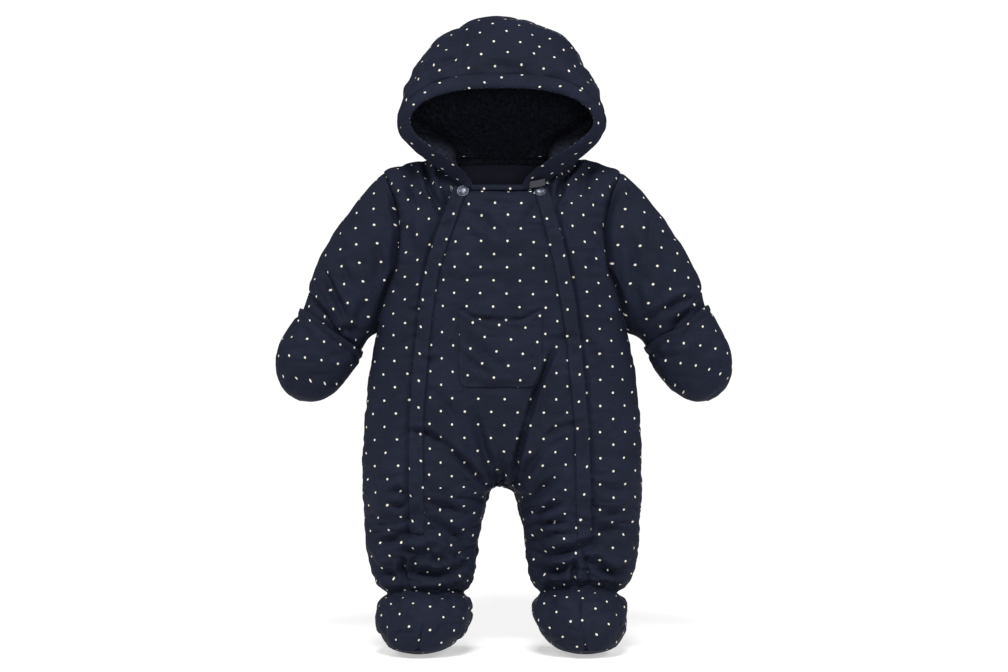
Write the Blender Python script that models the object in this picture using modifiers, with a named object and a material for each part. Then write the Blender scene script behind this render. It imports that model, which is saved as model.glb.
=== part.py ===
"""Baby snowsuit: a padded, hooded all-in-one with fold-over mitts and booties, filled out as when it is worn.

The tables are in millimetres, and METRE turns them into Blender's units. +Z is up and the front faces -Y.
Left and right are as seen from the front, so left is -X. The origin is at the shoulders, where the wearer
carries the suit.
"""

import functools
import math

import bmesh
import bpy
import numpy as np
from mathutils import Vector

METRE = 0.001
SEAM_GAP = 0.3
CLOTH = 3.0  # wall of the wadded cloth where it is sewn flat
PUFF = 3.6  # how much the wadding stands out between seams
PUFF_EDGE = 11.0  # distance from a seam over which the wadding rises
PILE = 6.0  # backing and pile of the hood's lining

FORK_TOP = 300.0  # level where the centre front starts to turn under the crotch
CROTCH = 353.0
ANKLE = 470.0
SHOULDER = 60.0  # level of the shoulder point, the top of the armhole
UNDERARM = 185.0

NECK_EASE, ARMHOLE_EASE = 0.6, 0.7  # the wadding rises more slowly from these seams, by these shares
SLEEVE_FLAT = 5.4  # station past which the sleeve holds no wadding, inside the mitt
STATION_LENGTH = 20.0  # about the length of the arm in a station
PRESSED_TURN = 70.0  # degrees round from the underarm in which the wadding is pressed flat

FLAP_HALF = 8.0
FLAP_TOP, FLAP_END = 4.5, 430.0
FLAP_WALL = 2.2
POCKET_WALL, POCKET_LIFT = 2.4, 1.7
FACING_WALL = 1.6
BACK_COLUMNS = 8
HOOD_COLUMNS, CROWN_COLUMNS = 10, 3
LINING_GAP = 0.6
LINING_START = 0.035  # station of the lining's front edge, behind the band
CROWN_HALF = 44.0  # half width of the hood's centre panel
CROWN_FOOT = 27.0  # and at the back of the neck
FRONT_SEAM = 0.004  # station of the hood's front edge, just clear of the band


def table(columns, *rows):
    """A dictionary of columns from rows of numbers."""
    return {name: [row[i] for row in rows] for i, name in enumerate(columns.split())}


# Rings round the body. Below the underarm a level is the distance below the shoulders; above it the
# rings tilt, from the neckline at 0 to the shoulder point at 60 and down the armhole.
BODY = table(
    "level z_front z_side z_back width front back inner square drop",
    (0, -28, 8, 12, 60, 44, 36, 0, 3.2, 2.5),
    (20, -41, 5, -2, 84, 50, 44, 0, 2.7, 2.0),
    (40, -55, 0, -19, 108, 54, 51, 0, 2.5, 1.5),
    (60, -70, -8, -38, 130, 57, 55, 0, 2.4, 1.1),
    (85, -92, -30, -66, 134, 59, 58, 0, 2.4, 1.0),
    (110, -114, -58, -95, 140, 60, 59, 0, 2.5, 1.0),
    (135, -138, -92, -125, 144, 61, 60, 0, 2.5, 1.0),
    (160, -161, -138, -156, 141, 62, 60, 0, 2.5, 1.0),
    (185, -185, -185, -185, 138.5, 62, 60, 0, 2.5, 1.0),
    (230, -230, -230, -230, 145, 63, 60, 0, 2.5, 1.0),
    (285, -285, -285, -285, 150.5, 62, 63, 0, 2.5, 1.0),
    (320, -320, -320, -320, 152, 60, 62, 0, 2.5, 1.0),
    (353, -353, -353, -353, 152.5, 56, 58, 0, 2.4, 1.0),
    (361, -361, -361, -361, 152.5, 54, 55, 12.5, 2.35, 1.0),
    (375, -375, -375, -375, 151.5, 51, 51, 17.5, 2.3, 1.0),
    (401, -401, -401, -401, 150, 46, 47, 24, 2.3, 1.0),
    (430, -430, -430, -430, 147.5, 44, 45, 27.5, 2.2, 1.0),
    (452, -452, -452, -452, 142, 42, 43, 31, 2.1, 1.0),
    (463, -463, -463, -463, 135, 39, 41, 36, 2.1, 1.0),
    (470, -470, -470, -470, 127.5, 35, 38, 41, 2.0, 1.0),
)
# Distance of each zip from the centre line, seen from the front
ZIPS = table(
    "z left right",
    (-24, 44, 41),
    (-73, 61.5, 55),
    (-121, 76, 66),
    (-165, 82.5, 73.5),
    (-230, 89, 81),
    (-302, 93, 87),
    (-366, 93, 89),
    (-424, 95, 91),
    (-470, 103, 97),
)
# Where the armhole's front edge leaves the ring, in degrees round from centre front. The back edge
# mirrors it.
ARMHOLE = table(
    "level angle",
    (60, 90),
    (66, 74),
    (85, 59),
    (110, 50.5),
    (135, 51),
    (160, 64),
    (176, 78),
    (185, 90),
)
# Largest folds of the front and back, seen from the front: a soft trough from start to end
FOLDS = table(
    "front start_x start_z end_x end_z width depth",
    (1, 60, -200, 28, -282, 12, 4.5),
    (1, 25, -285, 12, -346, 10, 6.5),
    (1, -82, -262, -54, -278, 10, 3.5),
    (1, -84, -294, -24, -342, 10, 6.0),
    (1, -62, -330, -28, -352, 9, 3.5),
    (1, 84, -318, 30, -356, 11, 4.0),
    (1, -104, -20, -62, -66, 11, 4.0),
    (1, 100, -22, 62, -60, 11, 4.0),
    (1, -132, -404, -96, -392, 10, 3.5),
    (1, -70, -432, -34, -424, 10, 3.5),
    (1, 42, -412, 80, -426, 10, 3.5),
    (1, 100, -400, 138, -388, 10, 3.5),
    (1, -126, -446, -40, -441, 8, 3.5),
    (1, 44, -440, 128, -447, 8, 3.5),
    (0, -70, -318, -12, -350, 12, 5.0),
    (0, 72, -312, 14, -348, 12, 5.0),
    (0, -130, -372, -70, -384, 11, 4.0),
    (0, 66, -380, 132, -370, 11, 4.0),
    (0, -96, -40, -50, -90, 12, 3.5),
    (0, 92, -44, 54, -86, 12, 3.5),
    (0, -128, -444, -44, -438, 8, 3.5),
    (0, 40, -440, 126, -446, 8, 3.5),
)
# Sections of a sleeve, seen from the front: its outer and under side, from the armhole to the cuff
# inside the mitt. The two arms don't hang quite alike: the right one lies farther out by skew, and
# the left one farther in.
SLEEVE = table(
    "station top_x top_z under_x under_z depth skew",
    (0, 130, -8, 138.5, -185, 84, 0),
    (1, 151, -34, 145.5, -187.5, 84, 1.6),
    (2, 174, -62, 150.5, -192, 84, 2.6),
    (3, 190.5, -86, 154.5, -198, 82, 3.0),
    (4, 204, -110, 158, -203.5, 78, 3.1),
    (5, 214.5, -132, 161.5, -208, 72, 3.1),
    (6, 218.5, -149, 168, -211, 63, 3.0),
    (7, 223.5, -165, 178, -216, 56, 2.8),
    (8, 229, -181, 189, -225, 52, 2.6),
)
MITT_START = 5.8  # sleeve station where the mitt's edge lies over the sleeve
# Sections of a mitt from just past its edge to the tip
MITT = table(
    "station outer_x outer_z inner_x inner_z depth skew",
    (1, 233.5, -171, 160, -217, 76, 3.6),
    (2, 243, -187, 168, -229.5, 74, 2.6),
    (3, 249.5, -203, 177, -240.5, 69, 2.4),
    (4, 252, -219, 185, -248.5, 62, 2.2),
    (5, 250.5, -233, 194.5, -254.5, 52, 2.2),
    (6, 244.5, -245, 204, -258.5, 39, 2.2),
    (7, 236, -253.5, 213.5, -260, 22, 2.2),
    (8, 225, -259.5, 225, -259.5, 0, 2.2),
)
# Arches over the hood, from the band's seam at the face to the back of the neck. An arch stands on
# the neckline at foot_angle, is widest at the share widest of its height, and has its top on the
# centre line.
HOOD = table(
    "station foot_angle top_y top_z width widest low high rise",
    (0.0, 46, -77, 99, 109, 0.52, 1.15, 0.7, 1.0),
    (0.1, 52, -70, 119, 109.5, 0.45, 1.35, 0.85, 1.08),
    (0.22, 60, -55, 140, 109.5, 0.37, 1.6, 0.92, 1.18),
    (0.36, 72, -28, 156, 109, 0.31, 1.9, 0.9, 1.25),
    (0.5, 88, 4, 161.5, 107.5, 0.31, 2.1, 0.88, 1.25),
    (0.62, 106, 38, 154, 104, 0.33, 2.1, 0.92, 1.2),
    (0.74, 124, 68, 132, 96, 0.37, 1.9, 0.95, 1.12),
    (0.84, 140, 84, 103, 83, 0.42, 1.6, 1.0, 1.05),
    (0.92, 152, 84, 68, 65, 0.45, 1.4, 1.0, 1.0),
    (0.97, 160, 64, 37, 43, 0.4, 1.2, 1.0, 1.0),
    (1.0, 163.8, 36, 12.3, 27.2, 0.02, 1.0, 1.0, 1.0),
)
# The same for the opening's own edge, whose foot lies in front of the neckline
OPENING = {
    "foot": (30, -49, -22), "top_y": -85, "top_z": 85, "width": 99,
    "widest": 0.67, "low": 1.5, "high": 0.8, "rise": 1.0,
}
# The rolled band: how far its ends stand back from the feet of the arches, as a share of the arch, its
# thickness each way from its middle, how much wider it is than the space between its seam and the opening,
# and the sides of its section
BAND = {"start": 0.07, "thick": 4.2, "wider": 1.04, "sides": 8, "seam_gaps": 1.6}
# Rings of a bootie, from the ankle seam to the sole's edge: z, its middle in x and y, half width
# and half length
BOOT = table(
    "z middle_x half_width half_length middle_y",
    (-470, 84.5, 43.2, 36.5, 1.5),
    (-476, 84.5, 48, 46, -5),
    (-484, 84.5, 51.5, 55, -10),
    (-494, 85, 51.5, 60, -13),
    (-507, 87, 48.2, 62, -14),
    (-517, 88.5, 42.5, 60, -14),
    (-526, 90.5, 34.5, 55, -14),
)
SOLE_WALL = 3.0
BOOT_PUFF = 0.6  # the booties hold less wadding than the body
# Rings of the sole, as shares of its edge, with their levels
SOLE = table("share z", (1.0, -526.3), (0.86, -530.6), (0.6, -534.4), (0.3, -536.0), (0.0, -536.4))
POCKET = {"left": -46, "right": 43, "top_left": -157, "top_right": -149, "dip": 16, "bottom": -243}
POPPER = {"radius": 6.4, "height": 3.2, "x": {-1: -42.0, 1: 40.5}, "z": -33.0}
ZIP_END = {
    -1: {"x": -57.5, "level": 8.0, "lift": 1.9, "width": 3.2, "height": 6.6, "thick": 1.6},
    1: {"x": 30.0, "level": 6.5, "lift": 0.7, "width": 3.4, "height": 4.2, "thick": 1.6},
}

NAVY = (0.022, 0.026, 0.045)
PILE_NAVY = (0.008, 0.010, 0.017)
FACING_NAVY = (0.014, 0.016, 0.028)
GUNMETAL = (0.09, 0.095, 0.11)
ZIP_METAL = (0.55, 0.56, 0.58)


def smooth(keys, values, at):
    """A monotone cubic curve through a table's rows, so that nothing overshoots between them."""
    at = min(max(at, min(keys)), max(keys))
    if keys[0] > keys[-1]:
        keys, values = keys[::-1], values[::-1]
    steps = np.diff(keys)
    slopes = np.diff(values) / steps
    tangents = np.concatenate([slopes[:1], slopes[1:], slopes[-1:]]).astype(float)
    for i in range(1, len(slopes)):
        before, after = slopes[i - 1], slopes[i]
        tangents[i] = 2 * before * after / (before + after) if before * after > 0 else 0.0
    i = int(np.clip(np.searchsorted(keys, at) - 1, 0, len(steps) - 1))
    u = (at - keys[i]) / steps[i]
    rise = values[i] * (1 + 2 * u) * (1 - u) ** 2 + values[i + 1] * u * u * (3 - 2 * u)
    return rise + steps[i] * (tangents[i] * u * (1 - u) ** 2 - tangents[i + 1] * u * u * (1 - u))


def at_station(rows, key, at):
    """Every column of a table at one place along it."""
    return {name: smooth(rows[key], rows[name], at) for name in rows if name != key}


def clear_scene():
    for thing in list(bpy.data.objects):
        bpy.data.objects.remove(thing, do_unlink=True)


def finish(name, colour, roughness, metallic=0.0):
    material = bpy.data.materials.new(name)
    material.use_nodes = True
    shader = material.node_tree.nodes["Principled BSDF"]
    shader.inputs["Base Color"].default_value = (*colour, 1.0)
    shader.inputs["Roughness"].default_value = roughness
    shader.inputs["Metallic"].default_value = metallic
    material.diffuse_color = (*colour, 1.0)
    return material


def add_object(name, mesh, material, collection):
    data = bpy.data.meshes.new(name)
    bmesh.ops.recalc_face_normals(mesh, faces=mesh.faces)
    mesh.to_mesh(data)
    mesh.free()
    data.materials.append(material)
    data.shade_smooth()
    data.set_sharp_from_angle(angle=math.radians(50))
    thing = bpy.data.objects.new(name, data)
    collection.objects.link(thing)
    return thing


def cloth_wall(name, patches, material, collection):
    """One closed wall of cloth.

    A patch is rows of (outer, inner) points, and patches weld where they share points.

    Both sides of the wall, and both walls at a seam, are split along the same diagonals, so that they
    never cross.
    """
    mesh = bmesh.new()
    found = {}

    def corner(pair):
        key = tuple(round(value, 2) for value in pair[0])
        if key not in found:
            found[key] = [mesh.verts.new(point * METRE) for point in pair]
        return found[key]

    quads = []
    for patch in patches:
        for upper, lower in zip(patch, patch[1:]):
            for pairs in zip(upper, upper[1:], lower[1:], lower):
                corners = []
                for pair in pairs:
                    made = corner(pair)
                    if made not in corners:
                        corners.append(made)
                if len(corners) > 2:
                    quads.append(corners)
    pieces = []
    for corners in quads:
        pieces += [[corners[0], corners[i], corners[i + 1]] for i in range(1, len(corners) - 1)]
    for corners in pieces:
        mesh.faces.new([outer for outer, _ in corners])
    inner_of = {outer: inner for outer, inner in found.values()}
    rims = []
    for edge in mesh.edges:
        if len(edge.link_faces) == 1:
            loop = edge.link_loops[0]
            rims.append((loop.link_loop_next.vert, loop.vert))
    for corners in pieces:
        mesh.faces.new([inner for _, inner in reversed(corners)])
    for start, end in rims:
        ring = [start, end, inner_of[end], inner_of[start]]
        if end.co.z > start.co.z:
            ring = ring[1:] + ring[:1]
        mesh.faces.new(ring[:3])
        mesh.faces.new(ring[2:] + ring[:1])
    return add_object(name, mesh, material, collection)


def closed_loft(name, rings, material, collection):
    """A solid through rings of points, with its ends capped."""
    mesh = bmesh.new()
    loops = [[mesh.verts.new(point * METRE) for point in ring] for ring in rings]
    for first, second in zip(loops, loops[1:]):
        for i in range(len(first)):
            j = (i + 1) % len(first)
            mesh.faces.new([first[i], first[j], second[j], second[i]])
    mesh.faces.new(loops[0])
    mesh.faces.new(loops[-1])
    return add_object(name, mesh, material, collection)


def turned(name, profile, material, collection):
    """A solid turned about its own Z from (radius, height) points that start and end on the axis."""
    mesh = bmesh.new()
    points = [mesh.verts.new(Vector((radius, 0, height)) * METRE) for radius, height in profile]
    for first, second in zip(points, points[1:]):
        mesh.edges.new([first, second])
    data = bpy.data.meshes.new(name)
    mesh.to_mesh(data)
    mesh.free()
    data.materials.append(material)
    thing = bpy.data.objects.new(name, data)
    collection.objects.link(thing)
    screw = thing.modifiers.new("Turn", "SCREW")
    screw.steps = screw.render_steps = 20
    screw.use_merge_vertices = True
    screw.merge_threshold = 0.00001
    screw.use_smooth_shade = True
    return thing


# --- Body ---


@functools.lru_cache(None)
def ring_sizes(level):
    return at_station(BODY, "level", level)


def fork_angle(level):
    """How far past centre front a ring runs: 0 on the torso, and 90 on a leg, at the inner leg seam."""
    square = ring_sizes(level)["square"]
    share = min(max((level - FORK_TOP) / (CROTCH - FORK_TOP), 0.0), 1.0)
    return math.degrees(math.acos((1 - share * share) ** (square / 4)))


def body_point(side, angle, level):
    """A point of one half: 0 degrees is centre front, 90 the side seam and 180 centre back."""
    size = ring_sizes(round(level, 3))
    power = 2 / size["square"]
    inner_reach = (size["width"] - size["inner"]) / 2
    centre = size["inner"] + inner_reach * math.sin(math.radians(fork_angle(round(level, 3)))) ** power
    turn, ahead = math.sin(math.radians(angle)), math.cos(math.radians(angle))
    reach = size["width"] - centre if turn > 0 else inner_reach
    depth, z_end = (-size["front"], size["z_front"]) if ahead > 0 else (size["back"], size["z_back"])
    x = centre + math.copysign(reach * abs(turn) ** power, turn)
    z = size["z_side"] + (z_end - size["z_side"]) * (1 - (1 - ahead * ahead) ** size["drop"])
    return Vector((side * x, depth * abs(ahead) ** power, z))


def slope_normal(point_at, first, second, step_one, step_two):
    """The unit normal of a surface of two values, from short steps along each."""
    along = point_at(first + step_one, second) - point_at(first - step_one, second)
    down = point_at(first, second + step_two) - point_at(first, second - step_two)
    return down.cross(along).normalized()


def body_normal(side, angle, level):
    share = min(max((level - FORK_TOP) / (CROTCH - FORK_TOP), 0.0), 1.0)
    on_centre = abs(body_point(side, angle, level).x) < 0.02
    if on_centre and share > 0:
        size = ring_sizes(round(level, 3))
        depth = -size["front"] if angle < 90 else size["back"]
        return Vector((0, math.sqrt(1 - share * share) / depth, -share / (CROTCH - FORK_TOP))).normalized()
    normal = side * slope_normal(lambda a, b: body_point(side, a, b), angle, level, 0.5, 0.5)
    if on_centre:
        normal.x = 0
    return normal.normalized()


def fold_depth(point):
    """How far the largest folds push the cloth in at a point of the body."""
    deepest = 0.0
    for front, x0, z0, x1, z1, width, depth in zip(*FOLDS.values()):
        if bool(front) != (point.y < 0):
            continue
        run = Vector((x1 - x0, z1 - z0))
        along = (Vector((point.x, point.z)) - Vector((x0, z0))).dot(run) / run.length_squared
        nearest = Vector((x0, z0)) + run * min(max(along, 0.0), 1.0)
        away = (Vector((point.x, point.z)) - nearest).length
        deepest = max(deepest, depth * math.exp(-((away / width) ** 2)))
    return deepest


def zip_angle(side, level):
    """Where the zip crosses a ring, found from its distance from the centre line."""
    low, high = -60.0, 88.0
    for _ in range(24):
        middle = (low + high) / 2
        point = body_point(side, middle, level)
        wanted = smooth(ZIPS["z"], ZIPS["left" if side < 0 else "right"], point.z)
        low, high = (middle, high) if abs(point.x) < wanted and point.x * side > -1 else (low, middle)
    return (low + high) / 2


def armhole_angle(level):
    if not SHOULDER < level < UNDERARM:
        return 90.0
    return smooth(ARMHOLE["level"], ARMHOLE["angle"], level)


def armhole_normal(side, angle, level):
    """The mitre between body and sleeve, so that both walls end on one plane."""
    point = body_point(side, angle, level)
    share = (level - SHOULDER) / (UNDERARM - SHOULDER)
    round_hole = Vector((0, point.y / 42, math.cos(math.pi * share)))
    return (body_normal(side, angle, level) + round_hole.normalized()).normalized()


def neck_normal(side, angle):
    """The mitre between body and hood, halfway between their own normals at the seam."""
    station = float(np.interp(angle, HOOD["foot_angle"], HOOD["station"]))
    hood = hood_normal(side, min(max(station, 0.02), 0.9), 0.06)
    point = body_point(side, angle, 0)
    level_out = Vector((point.x, point.y, 0)).normalized()
    to_back = min(max((angle - 135) / 20, 0.0), 1.0)
    return (body_normal(side, angle, 0) + hood.lerp(level_out, to_back)).normalized()


@functools.lru_cache(None)
def neck_columns(side):
    """Where the panels' columns end on the neckline: angles, and the points there."""
    front, _ = row_angles(side, zip_angle(side, 0), 90, 0, beside_flap(6, True))
    back, _ = row_angles(side, 90, 180, 0, even(BACK_COLUMNS))
    angles = [angle for angle, _ in front[:-1] + back]
    return angles, [body_point(side, angle, 0) for angle in angles]


def on_neck(side, angle, values):
    """A value on the neckline's straight steps between columns, so that the hood follows the same line."""
    angles, _ = neck_columns(side)
    place = float(np.interp(angle, angles, np.arange(len(angles))))
    i = min(int(place), len(angles) - 2)
    return values[i] + (values[i + 1] - values[i]) * (place - i)


def neck_foot(side, angle):
    return on_neck(side, angle, neck_columns(side)[1]) + Vector((0, 0, SEAM_GAP))


@functools.lru_cache(None)
def neck_mitres(side):
    return [neck_normal(side, angle) for angle in neck_columns(side)[0]]


def ankle_normal(side, angle):
    """The level mitre between leg and bootie."""
    normal = body_normal(side, angle, ANKLE - 0.6)
    return Vector((normal.x, normal.y, 0)).normalized()


def seam_point(side, angle, level):
    """A point of the body where a seam lies, with the folds pressed in."""
    point = body_point(side, angle, level)
    return point - edge_normal(side, angle, level) * fold_depth(point)


def edge_normal(side, angle, level):
    """The body's normal, turned into the mitre where a panel ends at the armhole or the neck."""
    if SHOULDER <= level <= UNDERARM:
        edge = armhole_angle(level)
        if min(abs(angle - edge), abs(180 - angle - edge)) < 0.01:
            return armhole_normal(side, angle, level)
    if level < 0.01 and angle > HOOD["foot_angle"][0] - 4:
        return neck_normal(side, angle)
    if level == ANKLE:
        return ankle_normal(side, angle)
    return body_normal(side, angle, level)


def row_angles(side, first, last, level, stops):
    """Angles along a ring with their distances from its start, and its length. Stops are shares of it."""
    samples = np.linspace(first, last, 49)
    points = [body_point(side, angle, level) for angle in samples]
    lengths = np.concatenate([[0], np.cumsum([(b - a).length for a, b in zip(points, points[1:])])])
    distances = [share * lengths[-1] for share in stops(lengths[-1])]
    return [(float(np.interp(distance, lengths, samples)), distance) for distance in distances], lengths[-1]


def even(count):
    return lambda length: [i / count for i in range(count + 1)]


def beside_flap(count, at_start, at_end=False):
    """Even columns, but with one along the flap's edge, so that the cloth under the flap stays flat."""

    def stops(length):
        edge = min((FLAP_HALF + 0.6) / length, 0.4)
        low, high = (edge if at_start else 0.0), (1 - edge if at_end else 1.0)
        inside = count - at_start - at_end
        middle = [low + (high - low) * i / inside for i in range(inside + 1)]
        return ([0.0] if at_start else []) + middle + ([1.0] if at_end else [])

    return stops


def wadding(distance):
    """How far the wadding stands out at a distance from the nearest seam."""
    return PUFF * (1 - math.exp(-min(max(distance, 0.0), 40.0) / PUFF_EDGE))


def body_patch(side, first, last, levels, stops, flap_edge=None):
    """Rows of (outer, inner) points of a panel between two lines down the body."""
    rows = []
    for level in levels:
        start, end = first(side, level), last(side, level)
        angles, length = row_angles(side, start, end, level, stops)
        row = []
        for angle, travelled in angles:
            normal = edge_normal(side, angle, level)
            point = seam_point(side, angle, level)
            left_over = length - travelled
            open_start = max(CROTCH - level, 0.0) if abs(start) < 91 and first in (front_line,) else 0.0
            open_end = max(CROTCH - level, 0.0) if last is back_line else 0.0
            flap_start = FLAP_HALF if flap_edge == "start" else 0.0
            flap_end = FLAP_HALF if flap_edge == "end" else 0.0
            distance = min(
                travelled + open_start - flap_start,
                left_over + open_end - flap_end,
                level * NECK_EASE,
                ANKLE - level,
                armhole_distance(side, point) * ARMHOLE_EASE,
            )
            row.append([point + normal * wadding(distance), point - normal * CLOTH])
        rows.append(row)
        on_centre = level < CROTCH + 0.01
        for index, line, column, step in ((0, first, 0, 1), (-1, last, -1, -2)):
            if on_centre and line in (front_line, back_line):
                continue
            inward = (row[column + step if column == 0 else step][0] - row[column][0]).normalized()
            row[index] = [point + inward * SEAM_GAP / 2 for point in row[index]]
    return rows


def front_line(side, level):
    return -fork_angle(level)


def back_line(side, level):
    return 180 + fork_angle(level)


def side_front_line(side, level):
    return armhole_angle(level)


def side_back_line(side, level):
    return 180 - armhole_angle(level)


def body_levels():
    """Levels of the rings: even on the torso, closer where it turns under, then even down the legs."""
    yoke = [SHOULDER * i / 4 for i in range(4)]
    armhole = [SHOULDER + (UNDERARM - SHOULDER) * i / 9 for i in range(9)]
    waist = [UNDERARM + (FORK_TOP - UNDERARM) * i / 8 for i in range(8)]
    fork = [FORK_TOP + (CROTCH - FORK_TOP) * math.sin(math.radians(18 * i)) for i in range(6)]
    return yoke + armhole + waist + fork + [357, 363, 371, 382, 394, 406, 418, 430, 441, 451, 459, 465, ANKLE]


def build_body(cloth, collection):
    levels = body_levels()
    centre, back = [], []
    for side in (-1, 1):
        name = "left" if side < 0 else "right"
        centre.append(body_patch(side, front_line, zip_angle, levels, beside_flap(5, False, True), "end"))
        back.append(body_patch(side, side_back_line, back_line, levels, even(BACK_COLUMNS)))
        patch = body_patch(side, zip_angle, side_front_line, levels, beside_flap(6, True), "start")
        cloth_wall(f"front_{name}", [patch], cloth, collection)
    split_crotch(centre, -1)
    split_crotch(back, 1)
    cloth_wall("front_centre", centre, cloth, collection)
    cloth_wall("back", back, cloth, collection)


def split_crotch(patches, towards):
    """Draws the front and the back apart at the crotch point, which both would otherwise share."""
    for patch in patches:
        for row in patch:
            for pair in row:
                if abs(pair[0].x) < 0.01 and abs(pair[0].z + CROTCH) < 6 and abs(pair[0].y) < 1:
                    pair[0] = pair[0] + Vector((0, towards * SEAM_GAP / 2, 0))
                    pair[1] = pair[1] + Vector((0, towards * SEAM_GAP / 2, 0))


# --- On the front ---


def raised(side, angle, level, height):
    point = body_point(side, angle, level)
    normal = body_normal(side, angle, level)
    return point + normal * (height - fold_depth(point))


def build_flap(side, cloth, collection):
    """The strip over a zip, made from the points of the panels below it."""
    rows = []
    between = [level for level in body_levels() if FLAP_TOP + 4 < level < FLAP_END]
    for level in [FLAP_TOP] + between + [FLAP_END]:
        middle = zip_angle(side, level)
        speed = (body_point(side, middle + 1, level) - body_point(side, middle - 1, level)).length / 2
        row = []
        for across in (-1, 0, 1):
            angle = middle + across * FLAP_HALF / speed
            crown = 0.0 if across else 0.8
            row.append([
                raised(side, angle, level, SEAM_GAP + FLAP_WALL + crown),
                raised(side, angle, level, SEAM_GAP + 0.15),
            ])
        rows.append(row)
    cloth_wall(f"zip_flap_{'left' if side < 0 else 'right'}", [rows], cloth, collection)


def front_surface(x, z, height):
    """A point over the centre front panel, found by its place seen from the front."""
    side = -1 if x < 0 else 1
    low, high = 100.0, 290.0
    for _ in range(20):
        level = (low + high) / 2
        angle = angle_at(side, abs(x), level)
        low, high = (level, high) if body_point(side, angle, level).z > z else (low, level)
    level = (low + high) / 2
    angle = angle_at(side, abs(x), level)
    row_end = body_point(side, zip_angle(side, level), level)
    distance = abs(row_end.x) - abs(x) - FLAP_HALF
    return raised(side, angle, level, wadding(distance) + height)


def angle_at(side, x, level):
    """The angle of the front's ring at a distance from the centre line."""
    low, high = 0.0, 90.0
    for _ in range(20):
        middle = (low + high) / 2
        low, high = (middle, high) if abs(body_point(side, middle, level).x) < x else (low, middle)
    return (low + high) / 2


def build_pocket(cloth, collection):
    columns, rows_count = 8, 7
    rows = []
    for i in range(rows_count + 1):
        down = i / rows_count
        row = []
        for j in range(columns + 1):
            across = j / columns
            tuck = 6.0 * max(down - 0.8, 0) / 0.2  # the lower corners are rounded
            x = POCKET["left"] + tuck + (POCKET["right"] - POCKET["left"] - 2 * tuck) * across
            top = POCKET["top_left"] + (POCKET["top_right"] - POCKET["top_left"]) * across
            top -= POCKET["dip"] * (1 - abs(2 * across - 1) ** 2.6)
            z = top + (POCKET["bottom"] - top) * down
            rim = min(across, 1 - across) * 88 if 0 < down < 1 else 0
            crown = 1.2 * (1 - math.exp(-rim / 10))
            row.append([
                front_surface(x, z, POCKET_LIFT + POCKET_WALL + crown),
                front_surface(x, z, POCKET_LIFT),
            ])
        rows.append(row)
    cloth_wall("pocket", [rows], cloth, collection)


# --- Sleeves and mitts ---


def armhole_point(side, turn):
    """A point of the armhole's edge: 0 at the shoulder, 90 halfway down the front, 180 at the underarm."""
    share = turn / 180 if turn <= 180 else (360 - turn) / 180
    level = SHOULDER + (UNDERARM - SHOULDER) * share
    angle = armhole_angle(level)
    return seam_point(side, angle if turn <= 180 else 180 - angle, level)


@functools.lru_cache(None)
def armhole_edge(side):
    return [armhole_point(side, turn) for turn in range(0, 360, 10)]


def armhole_distance(side, point):
    return min((point - edge).length for edge in armhole_edge(side))


def sleeve_point(side, turn, station):
    """A point of the sleeve, turned as on the armhole's edge; its first part grows out of the armhole."""
    station = max(station, 0.0)
    size = at_station(SLEEVE, "station", station)
    top = Vector((side * size["top_x"] + size["skew"], 0, size["top_z"]))
    under = Vector((side * size["under_x"] + size["skew"], 0, size["under_z"]))
    swing = math.radians(turn)
    point = (top + under) / 2 + (top - under) / 2 * math.cos(swing)
    point.y = -size["depth"] / 2 * math.copysign(abs(math.sin(swing)) ** 0.9, math.sin(swing))
    grown = 1 - (1 - min(station / 2.6, 1.0)) ** 2
    if grown < 1:
        start = Vector((side * (SLEEVE["top_x"][0] + SLEEVE["under_x"][0]) / 2, 0, 0))
        start.z = (SLEEVE["top_z"][0] + SLEEVE["under_z"][0]) / 2
        shift = (top + under) / 2 - start
        rim = armhole_point(side, turn % 360)
        hinge = 1 - (1 - math.cos(swing)) / 2 * 0.9
        point = point * grown + (rim + shift * hinge) * (1 - grown)
    return point


def outward(point_at, centre, first, second, step_one, step_two):
    normal = slope_normal(point_at, first, second, step_one, step_two)
    return normal if normal.dot(point_at(first, second) - centre) > 0 else -normal


def sleeve_normal(side, turn, station):
    size = at_station(SLEEVE, "station", station)
    middle_x = side * (size["top_x"] + size["under_x"]) / 2 + size["skew"]
    centre = Vector((middle_x, 0, (size["top_z"] + size["under_z"]) / 2))
    normal = outward(lambda a, b: sleeve_point(side, a, b), centre, turn, max(station, 0.2), 3, 0.15)
    if station < 0.05:
        share = (turn if turn <= 180 else 360 - turn) / 180
        level = SHOULDER + (UNDERARM - SHOULDER) * share
        angle = armhole_angle(level)
        return armhole_normal(side, angle if turn <= 180 else 180 - angle, level)
    return normal


def under_arm(turn):
    """The wadding is pressed flat where the sleeve lies on the body: 0 underneath, 1 from the front on up."""
    return min(abs(180 - turn % 360) / PRESSED_TURN, 1.0)


def build_sleeve(side, cloth, collection):
    turns = [20.0 * i for i in range(18)] + [0.0]
    stations = [0, 0.5, 1, 1.6, 2.2, 2.9, 3.6, 4.3, 5, 5.6, 6.2, 7, 8]
    rows = []
    for station in stations:
        row = []
        for turn in turns:
            point = sleeve_point(side, turn, station)
            normal = sleeve_normal(side, turn, station)
            along = (sleeve_point(side, turn, station + 0.2) - point).normalized()
            if station == 0:
                ahead, behind = armhole_point(side, (turn + 2) % 360), armhole_point(side, (turn - 2) % 360)
                around = (ahead - behind).normalized()
                away = along - around * along.dot(around) - normal * along.dot(normal)
                point = point + away.normalized() * SEAM_GAP
            from_seam = (point - sleeve_point(side, turn, 0)).length
            to_mitt = (SLEEVE_FLAT - station) * STATION_LENGTH
            puff = wadding(min(from_seam, to_mitt)) * under_arm(turn)
            row.append([point + normal * puff, point - normal * CLOTH])
        rows.append(row)
    cloth_wall(f"sleeve_{'left' if side < 0 else 'right'}", [rows], cloth, collection)


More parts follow.
